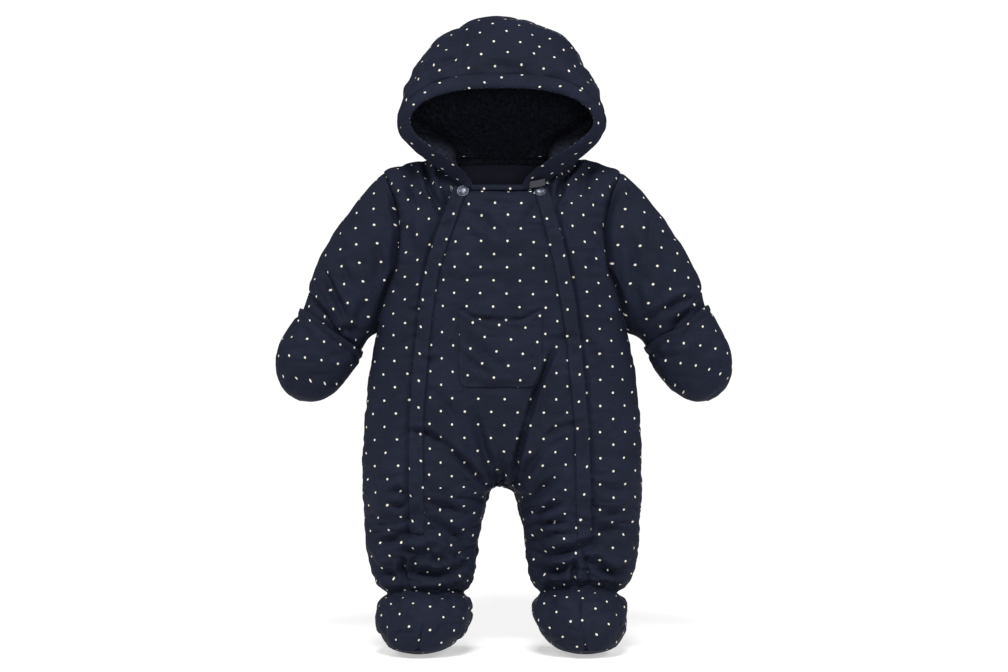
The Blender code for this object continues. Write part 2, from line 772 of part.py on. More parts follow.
def mitt_point(side, turn, station):
    """A point of the mitt's outer face. Station 0 is its edge, over the sleeve, which gapes at the front."""
    swing = math.radians(turn)
    gape = max(math.sin(swing), 0.0)
    below = max(-math.cos(swing), 0.0)
    at_edge = MITT_START + 0.45 * gape - 0.9 * below
    rim = sleeve_point(side, turn, at_edge)
    rim = rim + sleeve_normal(side, turn, at_edge) * (SEAM_GAP + CLOTH + 5.0 * gape)
    size = at_station(MITT, "station", max(station, 1.0))
    outer = Vector((side * size["outer_x"] + size["skew"], 0, size["outer_z"]))
    inner = Vector((side * size["inner_x"] + size["skew"], 0, size["inner_z"]))
    point = (outer + inner) / 2 + (outer - inner) / 2 * math.cos(swing)
    point.y = -size["depth"] / 2 * math.copysign(abs(math.sin(swing)) ** 0.85, math.sin(swing))
    if station >= 1:
        return point
    return rim + (point - rim) * station


def build_mitt(side, cloth, collection):
    turns = [20.0 * i for i in range(18)] + [0.0]
    stations = [0, 1, 2, 3, 4, 5, 6, 7, 8]
    rows = []
    for station in stations:
        row = []
        for turn in turns:
            point = mitt_point(side, turn, station)
            size = at_station(MITT, "station", max(station, 1.0))
            middle_x = side * (size["outer_x"] + size["inner_x"]) / 2 + size["skew"]
            centre = Vector((middle_x, 0, (size["outer_z"] + size["inner_z"]) / 2))
            if station == 8:
                normal = Vector((side * 0.05, 0, -1)).normalized()
            else:
                inside = min(max(station, 0.25), 7.6)
                normal = outward(lambda a, b: mitt_point(side, a, b), centre, turn, inside, 4, 0.15)
            row.append([point, point - normal * CLOTH])
        rows.append(row)
    cloth_wall(f"mitt_{'left' if side < 0 else 'right'}", [rows], cloth, collection)


# --- Booties ---


def boot_point(side, turn, depth):
    """A point of the bootie: turn 0 is the toe and 90 its outer side. Depth runs down from the ankle seam."""
    size = at_station(BOOT, "z", BOOT["z"][0] - depth)
    swing = math.radians(turn)
    ankle = body_point(side, turn, ANKLE)
    across = math.copysign(abs(math.sin(swing)) ** 0.92, math.sin(swing)) * size["half_width"]
    length = -math.copysign(abs(math.cos(swing)) ** 0.9, math.cos(swing)) * size["half_length"]
    point = Vector((side * (size["middle_x"] + across), size["middle_y"] + length, BOOT["z"][0] - depth))
    near_ankle = max(1 - depth / 6, 0.0)
    return point + (Vector((ankle.x, ankle.y, point.z)) - point) * near_ankle


def boot_normal(side, turn, depth):
    centre = Vector((side * BOOT["middle_x"][0], -8, -500))
    down = outward(lambda a, b: boot_point(side, a, b), centre, turn, min(max(depth, 0.6), 55.4), 3, 0.6)
    return ankle_normal(side, turn) if depth == 0 else down


def build_boot(side, cloth, sole_cloth, collection):
    name = "left" if side < 0 else "right"
    depths = [0, 6, 14, 24, 36, 47, 56]
    for part, start in (("outer", 0), ("inner", 180)):
        rows = []
        for depth in depths:
            row = []
            for i in range(10):
                turn = start + 20.0 * i
                point = boot_point(side, turn, depth)
                normal = boot_normal(side, turn, depth)
                seam = min(i, 9 - i) * 17
                puff = wadding(min(seam, depth, 60 - depth)) * BOOT_PUFF
                row.append([point + normal * puff, point - normal * CLOTH])
            for index, inside in ((0, 1), (-1, -2)):
                inward = (row[inside][0] - row[index][0]).normalized()
                row[index] = [spot + inward * SEAM_GAP / 2 for spot in row[index]]
            if depth == 0:
                row = [[spot - Vector((0, 0, SEAM_GAP)) for spot in pair] for pair in row]
            rows.append(row)
        cloth_wall(f"boot_{name}_{part}", [rows], cloth, collection)
    rows = []
    centre = Vector((side * BOOT["middle_x"][-1], BOOT["middle_y"][-1], 0))
    for share, z in zip(SOLE["share"], SOLE["z"]):
        row = []
        for i in range(19):
            rim = boot_point(side, 20.0 * (i % 18), 56)
            outer = Vector((centre.x + (rim.x - centre.x) * share, centre.y + (rim.y - centre.y) * share, z))
            lift = SOLE_WALL * min((1 - share) / 0.14, 1.0)
            pull = 1 - (SOLE_WALL / 40 if share > 0.8 else 0)
            inner = centre + (outer - centre) * pull
            inner.z = z + lift
            row.append([outer, inner])
        rows.append(row)
    cloth_wall(f"boot_{name}_sole", [rows], sole_cloth, collection)


# --- Hood ---


def arch_point(side, foot, size, share):
    """A point of one half of an arch: 0 at its foot, 1 at its top."""
    if share < 0.4:
        low = share / 0.4
        height = size["widest"] * low
        x = foot.x * side + (size["width"] - foot.x * side) * math.sin(math.pi / 2 * low) ** size["low"]
    else:
        swing = math.pi / 2 * (share - 0.4) / 0.6
        height = size["widest"] + (1 - size["widest"]) * math.sin(swing) ** size["rise"]
        x = size["width"] * math.cos(swing) ** size["high"]
    y = foot.y + (size["top_y"] - foot.y) * height
    z = foot.z + (size["top_z"] - foot.z) * height
    return Vector((side * x, y, z))


@functools.lru_cache(None)
def hood_arch(side, station):
    """Points of one half arch, evenly spaced, with their distances from the top."""
    size = at_station(HOOD, "station", station)
    foot = neck_foot(side, size["foot_angle"])
    points = [arch_point(side, foot, size, i / 60) for i in range(61)]
    lengths = np.concatenate([[0], np.cumsum([(b - a).length for a, b in zip(points, points[1:])])])
    return points, lengths


def hood_point(side, station, along):
    """A point of the hood at a distance along its arch from the neckline."""
    points, lengths = hood_arch(side, round(min(max(station, 0.0), 1.0), 5))
    place = float(np.interp(along, lengths, np.arange(61)))
    i = min(int(place), 59)
    return points[i] + (points[i + 1] - points[i]) * (place - i)


def hood_length(side, station):
    return float(hood_arch(side, round(min(max(station, 0.0), 1.0), 5))[1][-1])


def crown_half(station):
    """Half width of the centre panel, which narrows to the back of the neck."""
    return CROWN_HALF - (CROWN_HALF - CROWN_FOOT) * max((station - 0.8) / 0.2, 0.0) ** 1.5


def band_across(side, share):
    """The direction from the hood's front seam to the opening, across the rolled band."""
    lengths = hood_arch(side, 0.0)[1]
    place = float(np.interp(share * lengths[-1], lengths, np.arange(61))) / 60
    return (opening_point(side, place) - hood_point(side, 0.0, share * lengths[-1])).normalized()


def hood_normal(side, station, share):
    """Outward from the hood, from steps along and across its arches; share runs from foot to top."""

    def point_at(one, two):
        return hood_point(side, one, two * hood_length(side, one))

    if station > 0.999:
        foot = HOOD["foot_angle"][-1]
        return on_neck(side, foot + (180 - foot) * share, neck_mitres(side))
    inside = min(max(station, 0.012), 0.985)
    normal = outward(point_at, Vector((0, 6, 72)), inside, min(max(share, 0.03), 0.985), 0.012, 0.015)
    if share < 0.001:
        return on_neck(side, at_station(HOOD, "station", station)["foot_angle"], neck_mitres(side))
    if share > 0.999:
        normal.x = 0
    if station < 0.005:
        across = band_across(side, share)
        normal = normal - across * normal.dot(across)
    return normal.normalized()


@functools.lru_cache(None)
def hood_feet(side, stations):
    """Where each arch stands: the nearest free column of the body, or else its own angle."""
    feet = {station: at_station(HOOD, "station", station)["foot_angle"] for station in stations}
    free = dict(feet)
    for angle in neck_columns(side)[0]:
        if feet[stations[1]] - 3 < angle < feet[stations[-1]] - 4:
            nearest = min(free, key=lambda station: abs(feet[station] - angle))
            feet[nearest] = angle
            del free[nearest]
    return feet


def hood_patch(side, stations, low, high, columns, lift, wall, centre=False):
    """Rows along arches; low and high are shares of the arch's length as functions of the station."""
    rows = []
    foot_angles = hood_feet(side, tuple(stations))
    for station in stations:
        if station > 0.999 and not centre:
            foot = HOOD["foot_angle"][-1] - 0.6
            point, normal = neck_foot(side, foot), on_neck(side, foot, neck_mitres(side))
            rows.append([[point + normal * lift, point + normal * (lift - wall)]] * (columns + 1))
            continue
        row = []
        start, end = low(side, station), high(side, station)
        length = hood_length(side, station)
        for i in range(columns + 1):
            share = start + (end - start) * i / columns
            point = hood_point(side, station, share * length)
            normal = hood_normal(side, station, share)
            to_seam = (share - start) * length if centre else min(share - start, end - share) * length
            puff = wadding(min(to_seam, station * 300, (1 - station) * 120)) if wall == CLOTH else 0
            if share < 0.001:
                point = neck_foot(side, foot_angles[station])
                normal = on_neck(side, foot_angles[station], neck_mitres(side))
            thick = wall if station > LINING_START else CLOTH  # the pile is trimmed at the band's seam
            row.append([point + normal * (lift + puff), point + normal * (lift - thick)])
        for index, inside in ((0, 1), (-1, -2)):
            if centre and index == -1:
                continue
            inward = (row[inside][0] - row[index][0]).normalized()
            row[index] = [spot + inward * SEAM_GAP / 2 for spot in row[index]]
        rows.append(row)
    return rows


def at_foot(side, station):
    return 0.0


def at_seam(side, station):
    return max(1 - crown_half(station) / hood_length(side, station), 0.0)


def at_top(side, station):
    return 1.0


def build_hood(cloth, pile, collection):
    stations = [FRONT_SEAM, 0.06, 0.13, 0.2, 0.28, 0.36, 0.44, 0.52, 0.6, 0.68, 0.76, 0.83, 0.89, 0.94, 1.0]
    under = -(CLOTH + LINING_GAP)
    for name, lift, wall, material in (("hood", 0.0, CLOTH, cloth), ("lining", under, PILE, pile)):
        if name == "lining":
            stations = [LINING_START] + stations[1:]
        for side in (-1, 1):
            patch = hood_patch(side, stations, at_foot, at_seam, HOOD_COLUMNS, lift, wall)
            cloth_wall(f"{name}_{'left' if side < 0 else 'right'}", [patch], material, collection)
        halves = [
            hood_patch(side, stations, at_seam, at_top, CROWN_COLUMNS, lift, wall, True)
            for side in (-1, 1)
        ]
        cloth_wall(f"{name}_centre", halves, material, collection)


def opening_point(side, share):
    foot = Vector(OPENING["foot"])
    foot.x *= side
    return arch_point(side, foot, OPENING, share)


def build_band(cloth, collection):
    """The rolled hem round the face, a flattened roll between the hood's front seam and the opening."""
    start = at_seam(1, 0.0)
    shares = [BAND["start"]] + [start * i / HOOD_COLUMNS for i in range(1, HOOD_COLUMNS)]
    shares += [start + (1 - start) * i / CROWN_COLUMNS for i in range(CROWN_COLUMNS + 1)]
    places = [(-1, share) for share in shares] + [(1, share) for share in reversed(shares[:-1])]
    rings = []
    for side, share in places:
        lengths = hood_arch(side, 0.0)[1]
        seam = hood_point(side, FRONT_SEAM, share * hood_length(side, FRONT_SEAM))
        mouth = opening_point(side, float(np.interp(share * lengths[-1], lengths, np.arange(61))) / 60)
        across = (mouth - seam).normalized()
        ahead = hood_normal(side, FRONT_SEAM, share)
        ahead = (ahead - across * ahead.dot(across)).normalized()
        seam = seam + across * SEAM_GAP * BAND["seam_gaps"]
        half = (mouth - seam).length / 2
        ring = []
        for i in range(BAND["sides"]):
            swing = 2 * math.pi * (i + 0.5) / BAND["sides"]
            reach = across * half * BAND["wider"] * math.cos(swing)
            ring.append((seam + mouth) / 2 + reach + ahead * BAND["thick"] * math.sin(swing))
        rings.append(ring)
    closed_loft("hood_band", rings, cloth, collection)


# --- Neck, poppers and zip ends ---


def build_neck(cloth, facing, collection):
    """The binding folded over the front edge, and the smooth strip inside the back of the neck."""
    rings = []
    for i in range(13):
        across = -1 + 2 * i / 12
        side = -1 if across < 0 else 1
        angle = angle_at(side, abs(across) * 30, 0.0) if across else 0.0
        point = body_point(side, angle, 0)
        ring = []
        for lift, up in ((-3.6, 0.35), (-3.6, 3.0), (-1.5, 4.2), (1.2, 3.8), (2.6, 1.8), (1.6, 0.35)):
            ring.append(point + Vector((0, -lift, up)))
        rings.append(ring)
    closed_loft("neck_binding", rings, cloth, collection)
    halves = []
    for side in (-1, 1):
        rows = []
        for level in body_levels()[:5]:
            angles, _ = row_angles(side, side_back_line(side, level), 180, level, even(BACK_COLUMNS))
            row = []
            for angle, _ in angles[BACK_COLUMNS // 2 :]:
                point, normal = seam_point(side, angle, level), edge_normal(side, angle, level)
                lift = -(CLOTH + SEAM_GAP)
                row.append([point + normal * lift, point + normal * (lift - FACING_WALL)])
            rows.append(row)
        halves.append(rows)
    cloth_wall("neck_facing", halves, facing, collection)


def build_popper(side, metal, collection):
    radius, height = POPPER["radius"], POPPER["height"]
    profile = [(0, height), (radius * 0.55, height * 0.93)]
    profile += [(radius * 0.86, height * 0.7), (radius, height * 0.36)]
    profile += [(radius, 0.25), (radius * 0.8, 0), (0, 0)]
    popper = turned(f"popper_{'left' if side < 0 else 'right'}", profile, metal, collection)
    low, high = 0.0, 60.0
    for _ in range(20):
        level = (low + high) / 2
        angle = angle_at(side, abs(POPPER["x"][side]), level)
        low, high = (level, high) if body_point(side, angle, level).z > POPPER["z"] else (low, level)
    normal = body_normal(side, angle, level)
    popper.location = raised(side, angle, level, SEAM_GAP * 2 + FLAP_WALL + 1.3) * METRE
    popper.rotation_euler = normal.to_track_quat("Z", "Y").to_euler()


def build_zip_end(side, metal, collection):
    """The end of a zip's metal, a small rounded block that shows beside the flap's top."""
    size = ZIP_END[side]
    mesh = bmesh.new()
    bmesh.ops.create_cube(mesh, size=1.0)
    edges = Vector((size["width"], size["height"], size["thick"])) * METRE
    bmesh.ops.scale(mesh, vec=edges, verts=mesh.verts)
    bmesh.ops.bevel(mesh, geom=mesh.edges[:], offset=0.4 * METRE, segments=1, affect="EDGES")
    block = add_object(f"zip_end_{'left' if side < 0 else 'right'}", mesh, metal, collection)
    angle = angle_at(side, abs(size["x"]), size["level"])
    normal = body_normal(side, angle, size["level"])
    block.location = raised(side, angle, size["level"], SEAM_GAP + size["lift"] + size["thick"] / 2) * METRE
    block.rotation_euler = normal.to_track_quat("Z", "Y").to_euler()


def main():
    clear_scene()
    suit = bpy.data.collections.new("baby_snowsuit")
    bpy.context.scene.collection.children.link(suit)
    cloth = finish("navy wadded cotton", NAVY, 0.85)
    pile = finish("navy teddy pile", PILE_NAVY, 0.95)
    facing = finish("navy cotton lining", FACING_NAVY, 0.8)
    metal = finish("gunmetal", GUNMETAL, 0.35, 1.0)
    zip_metal = finish("zip metal", ZIP_METAL, 0.3, 1.0)
    build_body(cloth, suit)
    build_pocket(cloth, suit)
    build_neck(cloth, facing, suit)
    build_hood(cloth, pile, suit)
    build_band(cloth, suit)
    for side in (-1, 1):
        build_flap(side, cloth, suit)
        build_sleeve(side, cloth, suit)
        build_mitt(side, cloth, suit)
        build_boot(side, cloth, cloth, suit)
        build_popper(side, metal, suit)
        build_zip_end(side, zip_metal, suit)


main()
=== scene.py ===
import math

import bpy
import numpy as np
from mathutils import Matrix, Vector
from mathutils.bvhtree import BVHTree


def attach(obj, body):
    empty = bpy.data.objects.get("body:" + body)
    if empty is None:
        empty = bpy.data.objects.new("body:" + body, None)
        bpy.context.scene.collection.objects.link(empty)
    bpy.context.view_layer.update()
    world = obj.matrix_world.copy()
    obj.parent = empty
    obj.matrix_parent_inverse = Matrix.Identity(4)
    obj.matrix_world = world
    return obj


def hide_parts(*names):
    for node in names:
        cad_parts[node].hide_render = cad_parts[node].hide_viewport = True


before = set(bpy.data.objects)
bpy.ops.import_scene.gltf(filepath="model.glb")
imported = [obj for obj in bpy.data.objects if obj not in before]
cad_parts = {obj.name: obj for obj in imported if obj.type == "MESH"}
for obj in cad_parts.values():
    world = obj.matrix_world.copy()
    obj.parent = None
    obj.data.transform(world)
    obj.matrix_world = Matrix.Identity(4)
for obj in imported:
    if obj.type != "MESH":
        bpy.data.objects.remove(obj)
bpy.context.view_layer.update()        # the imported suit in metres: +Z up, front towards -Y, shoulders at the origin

mm = 0.001
bpy.ops.object.select_all(action="DESELECT")

# ---- the cut, in millimetres; left and right are as seen from the front ----


def table(columns, *rows):
    return {name: np.array([row[i] for row in rows], float) for i, name in enumerate(columns.split())}


def creaseTable(*rows):
    return table("x0 z0 x1 z1 x2 z2 width depth", *rows)


cloth = {"wall": 3.0, "puff": 3.6, "puffEdge": 11.0, "seamDip": 1.1, "seamWidth": 2.4, "gap": 0.3}
body = {
    "forkTop": 300.0, "crotch": 353.0, "ankle": 470.0, "shoulder": 60.0, "underarm": 185.0,
    "rings": table(
        "level zFront zSide zBack width front back inner square drop",
        (0, -28, 8, 12, 60, 44, 36, 0, 3.2, 2.5), (20, -41, 5, -2, 84, 50, 44, 0, 2.7, 2.0),
        (40, -55, 0, -19, 108, 54, 51, 0, 2.5, 1.5), (60, -70, -8, -38, 130, 57, 55, 0, 2.4, 1.1),
        (85, -92, -30, -66, 134, 59, 58, 0, 2.4, 1.0), (110, -114, -58, -95, 140, 60, 59, 0, 2.5, 1.0),
        (135, -138, -92, -125, 144, 61, 60, 0, 2.5, 1.0), (160, -161, -138, -156, 141, 62, 60, 0, 2.5, 1.0),
        (185, -185, -185, -185, 138.5, 62, 60, 0, 2.5, 1.0),
        (230, -230, -230, -230, 145, 63, 60, 0, 2.5, 1.0),
        (285, -285, -285, -285, 150.5, 62, 63, 0, 2.5, 1.0),
        (320, -320, -320, -320, 152, 60, 62, 0, 2.5, 1.0),
        (353, -353, -353, -353, 152.5, 56, 58, 0, 2.4, 1.0),
        (361, -361, -361, -361, 152.5, 54, 55, 12.5, 2.35, 1.0),
        (375, -375, -375, -375, 151.5, 51, 51, 17.5, 2.3, 1.0),
        (401, -401, -401, -401, 150, 46, 47, 24, 2.3, 1.0),
        (430, -430, -430, -430, 147.5, 44, 45, 27.5, 2.2, 1.0),
        (452, -452, -452, -452, 142, 42, 43, 31, 2.1, 1.0),
        (463, -463, -463, -463, 135, 39, 41, 36, 2.1, 1.0),
        (470, -470, -470, -470, 127.5, 35, 38, 41, 2.0, 1.0),
    ),
    "zips": table(
        "z left right",
        (-24, 44, 41), (-73, 61.5, 55), (-121, 76, 66), (-165, 82.5, 73.5), (-230, 89, 81), (-302, 93, 87),
        (-366, 93, 89), (-424, 95, 91), (-470, 103, 97),
    ),
    "armhole": table(
        "level angle",
        (60, 90), (66, 74), (85, 59), (110, 50.5), (135, 51), (160, 64), (176, 78), (185, 90),
    ),
}
# a soft trough from start to end; front is 1 on the front and 0 on the back
bodyFolds = table(
    "front x0 z0 x1 z1 width depth",
    (1, 60, -200, 28, -282, 12, 4.5), (1, 25, -285, 12, -346, 10, 6.5), (1, -14, -290, 0, -352, 26, 6.0),
    (1, -84, -294, -24, -342, 10, 5.0), (1, -62, -330, -28, -352, 9, 3.5), (1, 84, -318, 30, -356, 11, 4.0),
    (1, -104, -20, -62, -66, 11, 4.0), (1, 100, -22, 62, -60, 11, 4.0), (1, -132, -404, -96, -392, 10, 3.5),
    (1, -70, -432, -34, -424, 10, 3.5), (1, 42, -412, 80, -426, 10, 3.5), (1, 100, -400, 138, -388, 10, 3.5),
    (1, -126, -446, -40, -441, 8, 3.5), (1, 44, -440, 128, -447, 8, 3.5), (0, -70, -318, -12, -350, 12, 5.0),
    (0, 72, -312, 14, -348, 12, 5.0), (0, -130, -372, -70, -384, 11, 4.0), (0, 66, -380, 132, -370, 11, 4.0),
    (0, -96, -40, -50, -90, 12, 3.5), (0, 92, -44, 54, -86, 12, 3.5), (0, -128, -444, -44, -438, 8, 3.5),
    (0, 40, -440, 126, -446, 8, 3.5),
)
# finer creases, each through three places seen from the front
frontCreases = creaseTable(
    (56, -202, 37, -244, 25, -286, 2.9, 5.0), (25, -286, 18, -315, 12, -350, 3.0, 5.5),
    (-103, -289, -80, -293, -58, -307, 3.2, 3.0), (-60, -305, -40, -325, -17, -348, 3.2, 4.0),
    (-31, -272, -20, -311, -6, -341, 5.0, 4.2), (-2, -312, -3, -330, -2, -346, 3.2, 2.4),
    (28, -315, 60, -288, 93, -279, 3.4, 2.4), (30, -324, 47, -308, 66, -300, 4.0, 2.6),
    (18, -348, 30, -330, 42, -316, 5.0, 4.0), (34, -366, 46, -352, 60, -341, 4.0, 3.4),
    (38, -382, 50, -374, 68, -368, 4.0, 3.6), (36, -394, 52, -390, 76, -384, 4.5, 2.8),
    (34, -408, 48, -406, 60, -400, 4.0, 3.0), (37, -428, 74, -420, 106, -411, 4.6, 5.5),
    (37, -443, 60, -443, 76, -433, 4.0, 4.4), (78, -455, 78, -445, 80, -432, 3.0, 5.5),
    (84, -428, 104, -434, 124, -449, 4.2, 5.0), (104, -400, 122, -398, 142, -404, 4.6, 3.4),
    (98, -376, 112, -380, 128, -378, 4.2, 2.6), (106, -352, 122, -356, 144, -352, 5.0, 2.4),
    (120, -318, 132, -322, 146, -318, 5.0, 2.0), (-136, -414, -116, -408, -96, -400, 4.4, 5.0),
    (-125, -360, -112, -354, -101, -364, 3.8, 3.6), (-125, -368, -114, -372, -102, -371, 3.8, 3.2),
    (-78, -370, -58, -373, -34, -382, 4.2, 3.6), (-86, -393, -72, -401, -58, -411, 3.8, 4.0),
    (-75, -389, -55, -400, -38, -415, 3.8, 4.6), (-68, -398, -58, -407, -47, -417, 3.4, 3.4),
    (-108, -419, -92, -423, -73, -416, 4.0, 5.0), (-107, -426, -109, -444, -104, -460, 3.0, 5.5),
    (-98, -432, -81, -425, -62, -433, 3.8, 3.8), (-98, -443, -74, -447, -46, -445, 3.8, 4.2),
    (-62, -437, -46, -440, -34, -434, 4.0, 3.0), (-136, -452, -126, -449, -112, -453, 4.0, 3.6),
    (-146, -386, -132, -390, -120, -386, 5.0, 2.4), (-147, -338, -132, -344, -118, -340, 5.0, 2.0),
    (-84, 6, -78, -28, -65, -57, 3.6, 5.5), (-92, -4, -93, -30, -92, -58, 8.0, 3.4),
    (-60, -34, -62, -44, -60, -54, 4.0, 4.0), (-104, -70, -100, -84, -97, -100, 5.0, 2.0),
    (84, 4, 66, -18, 59, -44, 3.6, 5.5), (96, -4, 90, -20, 84, -38, 5.0, 2.6),
    (-36, -52, -20, -63, -2, -81, 5.0, 2.0), (-30, -42, -4, -46, 22, -43, 4.5, 1.6),
    (40, -44, 30, -56, 26, -72, 5.0, 1.6), (-43, -158, -31, -168, -4, -171, 2.4, 1.5),
    (-4, -171, 22, -170, 40, -160, 2.4, 1.2), (-50, -200, -34, -215, -12, -230, 4.0, 1.8),
    (-44, -186, -24, -203, 2, -222, 5.0, 1.8), (-40, -236, -10, -243, 22, -240, 4.0, 1.8),
    (-70, -252, -60, -263, -50, -280, 5.0, 2.4), (64, -187, 76, -190, 90, -193, 3.6, 1.2),
    (93, -194, 100, -206, 110, -220, 5.0, 2.4), (-104, -158, -96, -161, -84, -160, 4.0, 2.4),
    (-88, -212, -78, -216, -66, -213, 4.0, 2.0), (-30, -100, -6, -104, 20, -96, 7.0, 1.2),
    (-40, -130, -14, -124, 14, -131, 6.0, 1.2), (102, -92, 98, -110, 100, -128, 6.0, 1.8),
    (-114, -230, -104, -244, -100, -262, 6.0, 1.8),
)
sleeve = {
    "rings": table(
        "station topX topZ underX underZ depth skew",
        (0, 130, -8, 138.5, -185, 84, 0), (1, 151, -34, 145.5, -187.5, 84, 1.6),
        (2, 174, -62, 150.5, -192, 84, 2.6), (3, 190.5, -86, 154.5, -198, 82, 3.0),
        (4, 204, -110, 158, -203.5, 78, 3.1), (5, 214.5, -132, 161.5, -208, 72, 3.1),
        (6, 218.5, -149, 168, -211, 63, 3.0), (7, 223.5, -165, 178, -216, 56, 2.8),
        (8, 229, -181, 189, -225, 52, 2.6),
    ),
    "creases": {
        -1: creaseTable(
            (-195, -116, -183, -140, -168, -170, 3.6, 4.4), (-175, -110, -169, -120, -165, -131, 4.0, 3.0),
            (-168, -176, -160, -182, -152, -188, 4.0, 3.2), (-178, -184, -170, -180, -160, -184, 3.6, 2.6),
            (-136, -90, -133, -106, -134, -122, 5.0, 3.0), (-150, -150, -152, -163, -158, -176, 5.0, 3.0),
            (-186, -72, -178, -84, -174, -98, 7.0, 1.4), (-212, -146, -203, -156, -190, -166, 4.0, 2.6),
            (-160, -56, -154, -70, -152, -86, 6.0, 1.4),
        ),
        1: creaseTable(
            (142, -26, 139, -34, 137, -45, 4.0, 3.0), (160, -56, 161, -78, 160, -102, 4.0, 2.2),
            (174, -161, 189, -151, 208, -147, 3.8, 4.6), (150, -174, 160, -168, 172, -162, 4.0, 3.4),
            (142, -130, 147, -146, 150, -160, 5.0, 3.0), (188, -70, 182, -84, 180, -98, 7.0, 1.4),
            (140, -88, 144, -104, 142, -120, 5.0, 2.2), (186, -176, 196, -170, 206, -162, 3.8, 3.0),
            (172, -110, 180, -122, 184, -136, 6.0, 1.8),
        ),
    },
}
mitt = {
    # the edge's station at the front, how far it moves above and below, and how far it gapes
    "edge": {-1: (5.55, 1.05, 1.4), 1: (5.5, 0.85, 2.2)}, "gape": 5.0,
    "rings": table(
        "station outerX outerZ innerX innerZ depth skew",
        (1, 233.5, -171, 160, -217, 76, 3.6), (2, 243, -187, 168, -229.5, 74, 2.6),
        (3, 249.5, -203, 177, -240.5, 69, 2.4), (4, 252, -219, 185, -248.5, 62, 2.2),
        (5, 250.5, -233, 194.5, -254.5, 52, 2.2), (6, 244.5, -245, 204, -258.5, 39, 2.2),
        (7, 236, -253.5, 213.5, -260, 22, 2.2), (8, 225, -259.5, 225, -259.5, 0, 2.2),
    ),
    "creases": {
        -1: creaseTable(
            (-190, -210, -181, -209, -171, -212, 4.0, 2.0), (-219, -176, -211, -188, -203, -199, 4.0, 1.6),
            (-232, -196, -224, -203, -214, -207, 5.0, 1.2),
        ),
        1: creaseTable(
            (166, -210, 180, -211, 194, -208, 4.0, 2.2), (207, -182, 196, -195, 180, -203, 3.5, 2.2),
            (232, -196, 222, -206, 212, -209, 5.0, 1.2),
        ),
    },
}
hood = {
    "crownHalf": {-1: 49.0, 1: 39.0}, "wall": 3.0, "pile": 6.0, "liningGap": 0.6, "liningStart": 0.035,
    "rings": table(
        "station footAngle topY topZ width widest low high rise",
        (0.0, 46, -77, 92, 109, 0.52, 1.15, 0.7, 1.0), (0.1, 52, -70, 114, 109.5, 0.45, 1.35, 0.85, 1.08),
        (0.22, 60, -55, 138, 109.5, 0.37, 1.6, 0.92, 1.18), (0.36, 72, -28, 156, 109, 0.31, 1.9, 0.9, 1.25),
        (0.5, 88, 4, 161.5, 107.5, 0.31, 2.1, 0.88, 1.25), (0.62, 106, 38, 154, 104, 0.33, 2.1, 0.92, 1.2),
        (0.74, 124, 68, 132, 96, 0.37, 1.9, 0.95, 1.12), (0.84, 140, 84, 103, 83, 0.42, 1.6, 1.0, 1.05),
        (0.92, 152, 84, 68, 65, 0.45, 1.4, 1.0, 1.0), (0.97, 160, 64, 37, 43, 0.4, 1.2, 1.0, 1.0),
        (1.0, 163.8, 36, 12.3, 27.2, 0.02, 1.0, 1.0, 1.0),
    ),
    "opening": {"topY": -84, "topZ": 77.5, "width": 99, "widest": 0.67, "low": 2.0, "high": 0.8, "rise": 1.0},
    "creases": creaseTable(
        (-82, 99, -62, 107, -33, 117, 4.0, 3.0), (84, 111, 95, 100, 102, 88, 3.5, 2.0),
        (77, 104, 88, 93, 97, 82, 3.5, 1.6), (40, 118, 62, 116, 80, 108, 6.0, 1.2),
        (-20, 98, 0, 101, 24, 99, 5.0, 1.2), (-98, 88, -90, 97, -80, 105, 4.0, 1.6),
    ),
}
boot = {
    "rise": {-1: 5.0, 1: 10.0}, "riseBehind": 4.0, "riseFrom": 400.0, "drop": 56.0, "wall": 3.0,
    "rings": table(
        "z middleX halfWidth halfLength middleY",
        (-470, 84.5, 43.2, 36.5, 1.5), (-476, 84.5, 48, 46, -5), (-484, 84.5, 51.5, 55, -10),
        (-494, 85, 51.5, 60, -13), (-507, 87, 48.2, 62, -14), (-517, 88.5, 42.5, 60, -14),
        (-526, 90.5, 34.5, 55, -14),
    ),
    "sole": table("share z", (1.0, -526.3), (0.86, -529.2), (0.6, -532.2), (0.3, -534.6), (0.0, -535.4)),
}

# ---- sums on grids of points ----

noiseBlocks = np.random.default_rng(11).uniform(-1, 1, (32, 32, 32))


def curve(keys, values, at):  # a monotone cubic through the rows, as the solids use
    if keys[0] > keys[-1]:
        keys, values = keys[::-1], values[::-1]
    at = np.clip(at, keys[0], keys[-1])
    steps = np.diff(keys)
    slopes = np.diff(values) / steps
    before, after = slopes[:-1], slopes[1:]
    total = np.where(before + after == 0, 1, before + after)
    tangents = np.concatenate([slopes[:1], np.where(before * after > 0, 2 * before * after / total, 0),
                               slopes[-1:]])
    i = np.clip(np.searchsorted(keys, at) - 1, 0, len(steps) - 1)
    u = (at - keys[i]) / steps[i]
    value = values[i] * (1 + 2 * u) * (1 - u) ** 2 + values[i + 1] * u * u * (3 - 2 * u)
    return value + steps[i] * (tangents[i] * u * (1 - u) ** 2 - tangents[i + 1] * u * u * (1 - u))


def sizesAt(rows, key, at):
    return {name: curve(rows[key], rows[name], at) for name in rows if name != key}


def points3(x, y, z):
    return np.stack(np.broadcast_arrays(x, y, z), axis=-1)


def unit(vectors):
    return vectors / np.maximum(np.linalg.norm(vectors, axis=-1, keepdims=True), 1e-9)


